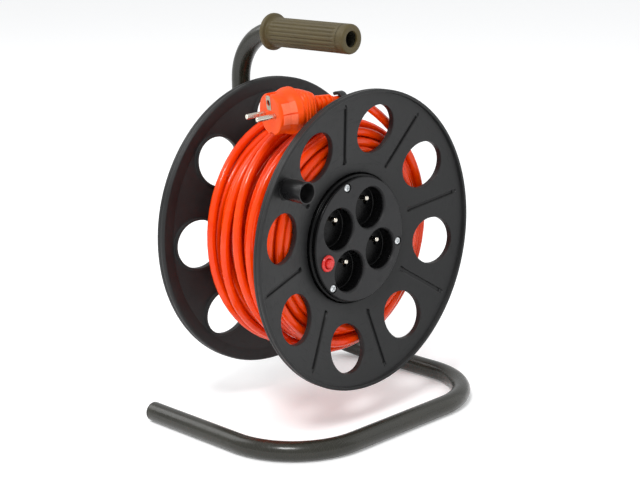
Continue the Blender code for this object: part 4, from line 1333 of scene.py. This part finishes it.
def screw_mesh(axis: Axis, head: float, top: float, base: float, outward: float) -> bpy.types.Mesh:
    """A pan head with a cross recess.

    The head's height at radius r is that of a flattened dome, h (1 - 0.55 (r / R)^4), and the cross sinks in where
    either coordinate across is under half of the slot's width and the other is inside the cross.

    Args:
        axis: The screw's axis.
        head: The head's radius.
        top: Place of the head's top along the axis.
        base: Place of its underside.
        outward: Sign of the direction out of the surface.

    Returns:
        The head's mesh.
    """
    radius = head * np.concatenate([np.linspace(0.0, 0.66, 22), np.linspace(0.7, 0.97, 8), [1.0]])[:, None]
    angle = full_turn(96)
    places = np.abs(radius * np.cos(angle)), np.abs(radius * np.sin(angle))
    thick, half_slot, half_cross = abs(top - base), 0.17 * head, 0.62 * head
    arms = [
        smoothstep(half_slot - across, -0.10, 0.12) * smoothstep(half_cross - along, -0.1, 0.15)
        for across, along in (places, places[::-1])
    ]
    height = thick * (1.0 - 0.55 * (radius / head) ** 4) - 0.85 * thick * np.maximum(arms[0], arms[1])
    top_grid = axis.place(radius, angle, base + outward * height)
    side = axis.turned([(head, base), (0.0, base)], angle)
    return Shell().add(np.concatenate([top_grid, side])).mesh()


@dataclass
class Drum:
    """The drum: both flanges, the panel with its fittings, the cable clip, the knob and the screws.

    Attributes:
        knob_angle: Angle of the knob, in degrees.
        knob_place: Distance of the knob from the axle.
        clip_angle: Angle of the clip, in degrees.
        clip_place: Distance of the clip from the axle.
        clip_axial: Place of the clip along the axle.
        screw_place: Distance of the rear screws from the axle.
    """

    knob_angle: float = 147.2
    knob_place: float = 121.5
    clip_angle: float = 98.2
    clip_place: float = 135.2
    clip_axial: float = -48.4
    screw_place: float = 52.0

    def build(self, shop: Workshop) -> None:
        """Makes every piece that turns with the drum, apart from the cable.

        Args:
            shop: Where pieces are made.
        """
        shop.piece("front_disc", Flange(Side.FRONT, 79.2).mesh(), MATTE_BLACK, "front_flange", "hub_cup")
        shop.piece("rear_disc", Flange(Side.REAR, 2.0).mesh(), MATTE_BLACK, "rear_flange")
        self.build_panel(shop)
        self.build_knob(shop)
        self.build_clip(shop)
        for number in range(1, 5):
            axis = axle_parallel(33.0 + 90.0 * (number - 1), self.screw_place, up=20.0 * number)
            mesh = screw_mesh(axis, 4.5, 51.15, 48.55, 1.0)
            shop.piece(f"barrel_screw_{number}", mesh, ZINC, f"core_screw_{number}")

    def build_panel(self, shop: Workshop) -> None:
        """Makes the socket panel, its sockets, earth pins, screws and button.

        Args:
            shop: Where pieces are made.
        """
        panel = SocketPanel()
        made = shop.piece("round_panel", panel.panel(), PANEL_BLACK, "socket_panel")
        panel.glossy_painted_shade_wall(made.data, shop)
        for number, angle in enumerate(panel.well_angles, start=1):
            axis = axle_parallel(angle, panel.well_place)
            shop.piece(f"socket_well_{number}", panel.socket(axis), GLOSS_BLACK, f"socket_insert_{number}")
            shop.piece(f"socket_pin_{number}", panel.earth_pin(axis), NICKEL, f"earth_pin_{number}")
        for number, angle in enumerate(panel.screw_angles, start=1):
            axis = axle_parallel(angle, panel.screw_place, up=35.0 + 50.0 * number)
            mesh = screw_mesh(axis, 3.5, -56.5, -54.9, -1.0)
            shop.piece(f"face_screw_{number}", mesh, ZINC, f"panel_screw_{number}")
        button = axle_parallel(panel.button_angle, panel.button_place)
        collar = rounded(
            [
                (4.9, -58.2), (5.6, -58.6), (7.2, -58.6), (8.0, -57.4), (8.0, -56.8), (6.2, -56.8), (6.2, -53.9),
                (4.9, -53.9),
            ],
            0.5,
        )
        shop.piece("button_ring", button.solid(collar, 96, ring=True), BUTTON_RED, "button_collar")
        stem = [(0.0, -61.0), (2.6, -61.4), (4.3, -60.4), (4.3, -51.4), (0.0, -51.4)]
        mesh = button.solid(rounded(stem, 0.8, closed=False, steps=6), 72)
        shop.piece("red_button", mesh, BUTTON_RED, "reset_button", body=Body.BUTTON)

    def build_knob(self, shop: Workshop) -> None:
        """Makes the winding knob: a hollow drawn cup, open at its outer end, on a low boss.

        Args:
            shop: Where pieces are made.
        """
        axis = axle_parallel(self.knob_angle, self.knob_place)
        cup = rounded(
            [
                (4.3, -64.5), (9.2, -64.5), (9.6, -68.5), (9.75, -80.0), (10.0, -88.9), (8.7, -88.9), (8.5, -80.0),
                (8.35, -68.7), (4.3, -68.7),
            ],
            0.45,
        )
        shop.piece("turning_knob", axis.solid(cup, 96, ring=True), KNOB_BLACK, "winding_knob", body=Body.KNOB)
        boss = rounded([(4.4, -60.0), (10.9, -60.0), (9.5, -62.2), (9.4, -64.2), (4.4, -64.2)], 0.5)
        shop.piece("knob_boss", axis.solid(boss, 72, ring=True), MATTE_BLACK)

    def build_clip(self, shop: Workshop) -> None:
        """Makes the cable clip: a flat strip bent round the cable, on a foot that meets the flange's rim.

        The strip's section is a rounded rectangle across the drum's X, carried round an arc about the cable, and
        the foot is a rounded square carried forward while it widens.

        Args:
            shop: Where pieces are made.
        """
        turn = math.radians(self.clip_angle)
        middle = np.array([self.clip_place * math.cos(turn), self.clip_axial, self.clip_place * math.sin(turn)])
        section = rounded([(5.0, -4.0), (8.0, -4.0), (8.0, 4.0), (5.0, 4.0)], 0.6)
        arc = np.radians(np.linspace(55.0, 305.0, 61))
        outward = np.stack([np.zeros_like(arc), np.cos(arc), np.sin(arc)], axis=-1)
        strip = section[None, :, :1] * outward[:, None] + section[None, :, 1:] * np.array([1.0, 0.0, 0.0])
        foot = rounded([(-3.0, -3.0), (3.0, -3.0), (3.0, 3.0), (-3.0, 3.0)], 0.6)
        reach = np.array([6.6, 6.9, 12.0, 12.2, 12.25])[:, None] * np.ones(len(foot))
        scale = np.array([0.96, 1.0, 1.2, 1.16, 1.1])[:, None]
        block = np.stack([scale * foot[:, 0], -reach, scale * foot[:, 1]], axis=-1)
        mesh = Shell().add(capped(middle + strip)).add(capped(middle + block)).mesh()
        shop.piece("cable_clip", mesh, KNOB_BLACK, "plug_clip")


# ---- Stand ----


@dataclass
class Stand:
    """The bent tube with its grip, end cap and the fastening of the axle.

    Attributes:
        tube_radius: The tube's outer radius.
        tube_wall: The tube's wall.
        half_foot: Distance of each leg from the middle.
        front_bend: Radius of the foot's bends.
        leg_back: Where the left leg ends, along the axle.
        leg_end: Where the right leg's rise starts, along the axle.
        front_axial: Where the legs' front bends start, along the axle.
        rise_bend: Radius of the bend into the rising run.
        rise_angle: The rising run's angle from upright, in degrees.
        upper_bend: Radius of the bend into the column.
        handle_bend: Radius of the bend into the handle.
        handle_height: Height of the handle above the axle.
        handle_end: Where the handle ends, along the axle.
        grip_radius: The grip's radius between its ends.
        flutes: How many flutes the grip has.
        nut_ends: Places of the nut's two ends along the axle.
        nut_flat: Distance from the nut's middle to a flat.
    """

    tube_radius: float = 9.25
    tube_wall: float = 1.5
    half_foot: float = 139.0
    front_bend: float = 75.0
    leg_back: float = 87.0
    leg_end: float = 64.7
    front_axial: float = -31.9
    rise_bend: float = 40.0
    rise_angle: float = 57.0
    upper_bend: float = 60.0
    handle_bend: float = 50.0
    handle_height: float = 186.8
    handle_end: float = -43.0
    grip_radius: float = 14.0
    flutes: int = 20
    nut_ends: tuple[float, float] = (116.3, 124.3)
    nut_flat: float = 8.5

    def floor(self) -> float:
        """Height of the foot's centre line."""
        return self.tube_radius - CENTRE[2]

    def path(self) -> Array:
        """The tube's centre line: left leg, front run, right leg, rising run, column and handle.

        Returns:
            The stations.
        """
        rise = math.radians(self.rise_angle)
        right, back, top = np.eye(3)
        line = BentPath(np.array([-self.half_foot, self.leg_back, self.floor()]), -back)
        line.points.append(line.place[None, :])
        line.straight(self.leg_back - self.front_axial, 16)
        line.bend(self.front_bend, right)
        line.straight(2.0 * (self.half_foot - self.front_bend), 16)
        line.bend(self.front_bend, back)
        line.straight(self.leg_end - line.place[1], 12)
        line.bend(self.rise_bend, np.array([-math.sin(rise), 0.0, math.cos(rise)]))
        line.straight(line.place[0] / math.sin(rise) - self.upper_bend * math.tan(rise / 2.0), 14)
        line.bend(self.upper_bend, top)
        line.straight(self.handle_height - self.handle_bend - line.place[2], 22)
        line.bend(self.handle_bend, -back)
        line.straight(line.place[1] - self.handle_end, 10)
        return np.vstack(line.points)

    def build(self, shop: Workshop) -> None:
        """Makes the stand's pieces.

        Args:
            shop: Where pieces are made.
        """
        path = self.path()
        across = steady_frames(path)
        outer, inner = (tube_grid(path, *across, self.tube_radius - wall, 48) for wall in (0.0, self.tube_wall))
        mesh = Shell().add(np.concatenate([outer, inner[::-1]]), wrap_rows=True).mesh()
        shop.piece("bent_tube", mesh, TUBE_PAINT, "frame_tube", body=Body.STAND)
        cap = rounded(
            [(0.0, 89.9), (7.2, 89.7), (9.2, 88.6), (9.2, 87.05), (7.3, 87.05), (7.3, 75.0), (0.0, 75.0)],
            0.8, closed=False,
        )
        mesh = Axis((-self.half_foot, 0.0, self.floor())).solid(cap, 64)
        shop.piece("leg_cap", mesh, MATTE_BLACK, "foot_end_cap", body=Body.STAND)
        shop.piece("hand_grip", self.grip(), GRIP_RUBBER, "handle_grip", body=Body.STAND)
        washer = rounded([(5.5, 114.5), (10.0, 114.5), (10.0, 116.0), (5.5, 116.0)], 0.3)
        shop.piece("rear_washer", DRUM_AXIS.solid(washer, 72, ring=True), ZINC, "nut_washer", body=Body.STAND)
        shop.piece("rear_nut", self.nut(), ZINC, "axle_nut", body=Body.STAND)
        thrust = rounded([(8.4, 74.3), (17.5, 74.3), (17.5, 75.8), (8.4, 75.8)], 0.35)
        shop.piece("thrust_ring", DRUM_AXIS.solid(thrust, 72, ring=True), NYLON, "thrust_washer", body=Body.STAND)

    def grip(self) -> bpy.types.Mesh:
        """The hand grip: a sleeve whose side carries long flutes that fade out before both ends.

        The outer radius at angle a is R - d (0.5 - 0.5 cos(n a))^3 times a window along the grip.

        Returns:
            The grip's mesh.
        """
        side = self.grip_radius
        outline = rounded(
            [
                (7.5, -46.6), (12.6, -46.6), (side, -45.0), (side, -40.0), (side, -39.0), (side, 52.0), (14.6, 53.2),
                (17.8, 54.4), (17.8, 58.5), (9.9, 58.5), (9.9, -43.4), (7.5, -43.4),
            ],
            1.3,
        )
        along = np.linspace(-38.6, 51.5, 60)
        split = int(np.argmax(outline[:, 1] > 0.0))
        wall = np.stack([np.full_like(along, side), along], axis=-1)
        profile = np.vstack([outline[:split], wall, outline[split:]])
        radius, axial, angle = profile[:, :1], profile[:, 1:], full_turn(256)
        window = smoothstep(axial, -36.0, -33.0) * (1.0 - smoothstep(axial, 47.0, 50.0))
        window = window * (np.abs(radius - side) < 0.1)
        flute = 0.9 * (0.5 - 0.5 * np.cos(self.flutes * angle)) ** 3
        grid = Axis((0.0, 0.0, self.handle_height)).place(radius - flute * window, angle, axial)
        return Shell().add(grid, wrap_rows=True).mesh()

    def nut(self) -> bpy.types.Mesh:
        """The hexagon nut: its radius is the lesser of the hexagon's and a chamfer cone's.

        The hexagon's radius at angle a is A / cos(a mod 60 - 30), and the cone's falls by 1.7 per unit at both ends.

        Returns:
            The nut's mesh.
        """
        low, high = self.nut_ends
        axial = np.concatenate([np.linspace(low, low + 1.2, 7), np.linspace(high - 1.2, high, 7)])[:, None]
        angle = full_turn(96)
        hexagon = self.nut_flat / np.cos(np.mod(angle, math.pi / 3.0) - math.pi / 6.0)
        cone = 8.2 + 1.7 * np.minimum(axial - low, high - axial)
        outside = DRUM_AXIS.place(np.minimum(hexagon, cone), angle, axial)
        bore = DRUM_AXIS.turned([(5.9, high), (5.25, high - 0.6), (5.25, low + 0.6), (5.9, low)], angle)
        return Shell().add(np.concatenate([outside, bore]), wrap_rows=True).mesh()


# ---- Studio ----


@dataclass
class Studio:
    """The pale floor, the soft lights and the camera.

    Attributes:
        lens: The camera's focal length.
        camera_place: Its place from the drum's middle.
        azimuth: Its turn about the vertical, in degrees.
        elevation: Its height angle, in degrees.
        roll: Its tilt, in degrees.
        surround_glow: How strongly the surroundings light the reel.
        floor_glow: How strongly the floor shines by itself.
        half_floor: Half of the floor's width, in metres.
        aim: Where the lights point, in metres.
    """

    lens: float = 83.5
    camera_place: Triple = (-989.6, -978.6, 340.5)
    azimuth: float = -45.4106
    elevation: float = 14.138
    roll: float = -0.5574
    surround_glow: float = 0.76
    floor_glow: float = 0.2
    half_floor: float = 14.0
    aim: Triple = (0.0, 0.0, 0.18)

    def build(self) -> None:
        """Makes the camera, the floor, the lights and the even surroundings, which look white from the camera."""
        self.build_camera()
        self.build_floor()
        self.build_light("key", (-1.6, -0.9, 2.3), 0.7, 44.0)
        self.build_light("fill", (2.0, -1.4, 1.2), 2.2, 8.0)
        self.build_light("rim", (-0.9, 1.9, 1.9), 1.6, 20.0)
        world = bpy.data.worlds.new("studio")
        world.use_nodes = True
        tree = world.node_tree
        background = tree.nodes["Background"].inputs
        background["Color"].default_value = (0.98, 0.99, 1.0, 1.0)
        straight = add_node(tree, "ShaderNodeLightPath").outputs["Is Camera Ray"]
        glow = add_node(tree, "ShaderNodeMapRange", {0: straight, 3: self.surround_glow, 4: 1.0})
        tree.links.new(glow.outputs[0], background["Strength"])
        bpy.context.scene.world = world
        bpy.context.scene.view_settings.view_transform = "Standard"

    def build_camera(self) -> None:
        """Makes the camera from its place, its two angles and its roll."""
        turn, lift, roll = (math.radians(v) for v in (self.azimuth, self.elevation, self.roll))
        back = np.array([math.sin(turn) * math.cos(lift), -math.cos(turn) * math.cos(lift), math.sin(lift)])
        right = np.array([math.cos(turn), math.sin(turn), 0.0])
        up = np.cross(back, right)
        across = right * math.cos(roll) + up * math.sin(roll)
        upward = up * math.cos(roll) - right * math.sin(roll)
        data = bpy.data.cameras.new("camera")
        data.lens = self.lens
        data.sensor_width = 36.0
        data.clip_start = 0.01
        camera = bpy.data.objects.new("camera", data)
        columns = Matrix([Vector(axis) for axis in (across, upward, back)]).transposed()
        place = Vector(to_world(np.array(self.camera_place)))
        camera.matrix_world = Matrix.Translation(place) @ columns.to_4x4()
        bpy.context.collection.objects.link(camera)
        bpy.context.scene.camera = camera

    def build_floor(self) -> None:
        """Makes the floor: a wide flat white sheet that shines a little by itself."""
        mesh = bpy.data.meshes.new("floor")
        corners = [(x * self.half_floor, y * self.half_floor, 0.0) for x, y in ((-1, -1), (1, -1), (1, 1), (-1, 1))]
        mesh.from_pydata(corners, [], [(0, 1, 2, 3)])
        floor = bpy.data.objects.new("floor", mesh)
        bpy.context.collection.objects.link(floor)
        material = bpy.data.materials.new("pale_floor")
        material.use_nodes = True
        shader = material.node_tree.nodes["Principled BSDF"].inputs
        shader["Base Color"].default_value = (0.93, 0.93, 0.93, 1.0)
        shader["Roughness"].default_value = 0.9
        shader["Specular IOR Level"].default_value = 0.1
        shader["Emission Color"].default_value = (1.0, 1.0, 1.0, 1.0)
        shader["Emission Strength"].default_value = self.floor_glow
        mesh.materials.append(material)

    def build_light(self, name: str, place: Triple, size: float, power: float) -> None:
        """Makes one square soft light that faces the reel.

        Args:
            name: The light's name.
            place: Its place in metres.
            size: The length of its side.
            power: Its power in watts.
        """
        data = bpy.data.lights.new(name, "AREA")
        data.size = size
        data.energy = power
        light = bpy.data.objects.new(name, data)
        towards = Vector(self.aim) - Vector(place)
        light.matrix_world = Matrix.Translation(place) @ towards.to_track_quat("-Z", "Y").to_matrix().to_4x4()
        bpy.context.collection.objects.link(light)


def main() -> None:
    """Builds the studio, the cable, the drum and the stand, and dresses the nodes that stay."""
    logging.basicConfig(level=logging.INFO, format="%(name)s %(message)s")
    Studio().build()
    shop = Workshop()
    plug_pieces = Plug().build(shop)
    Cable().build(shop, plug_pieces)
    Drum().build(shop)
    Stand().build(shop)
    for node, finish in KEPT_NODES.items():
        shop.dress(node, finish)


if __name__ == "__main__":
    main()
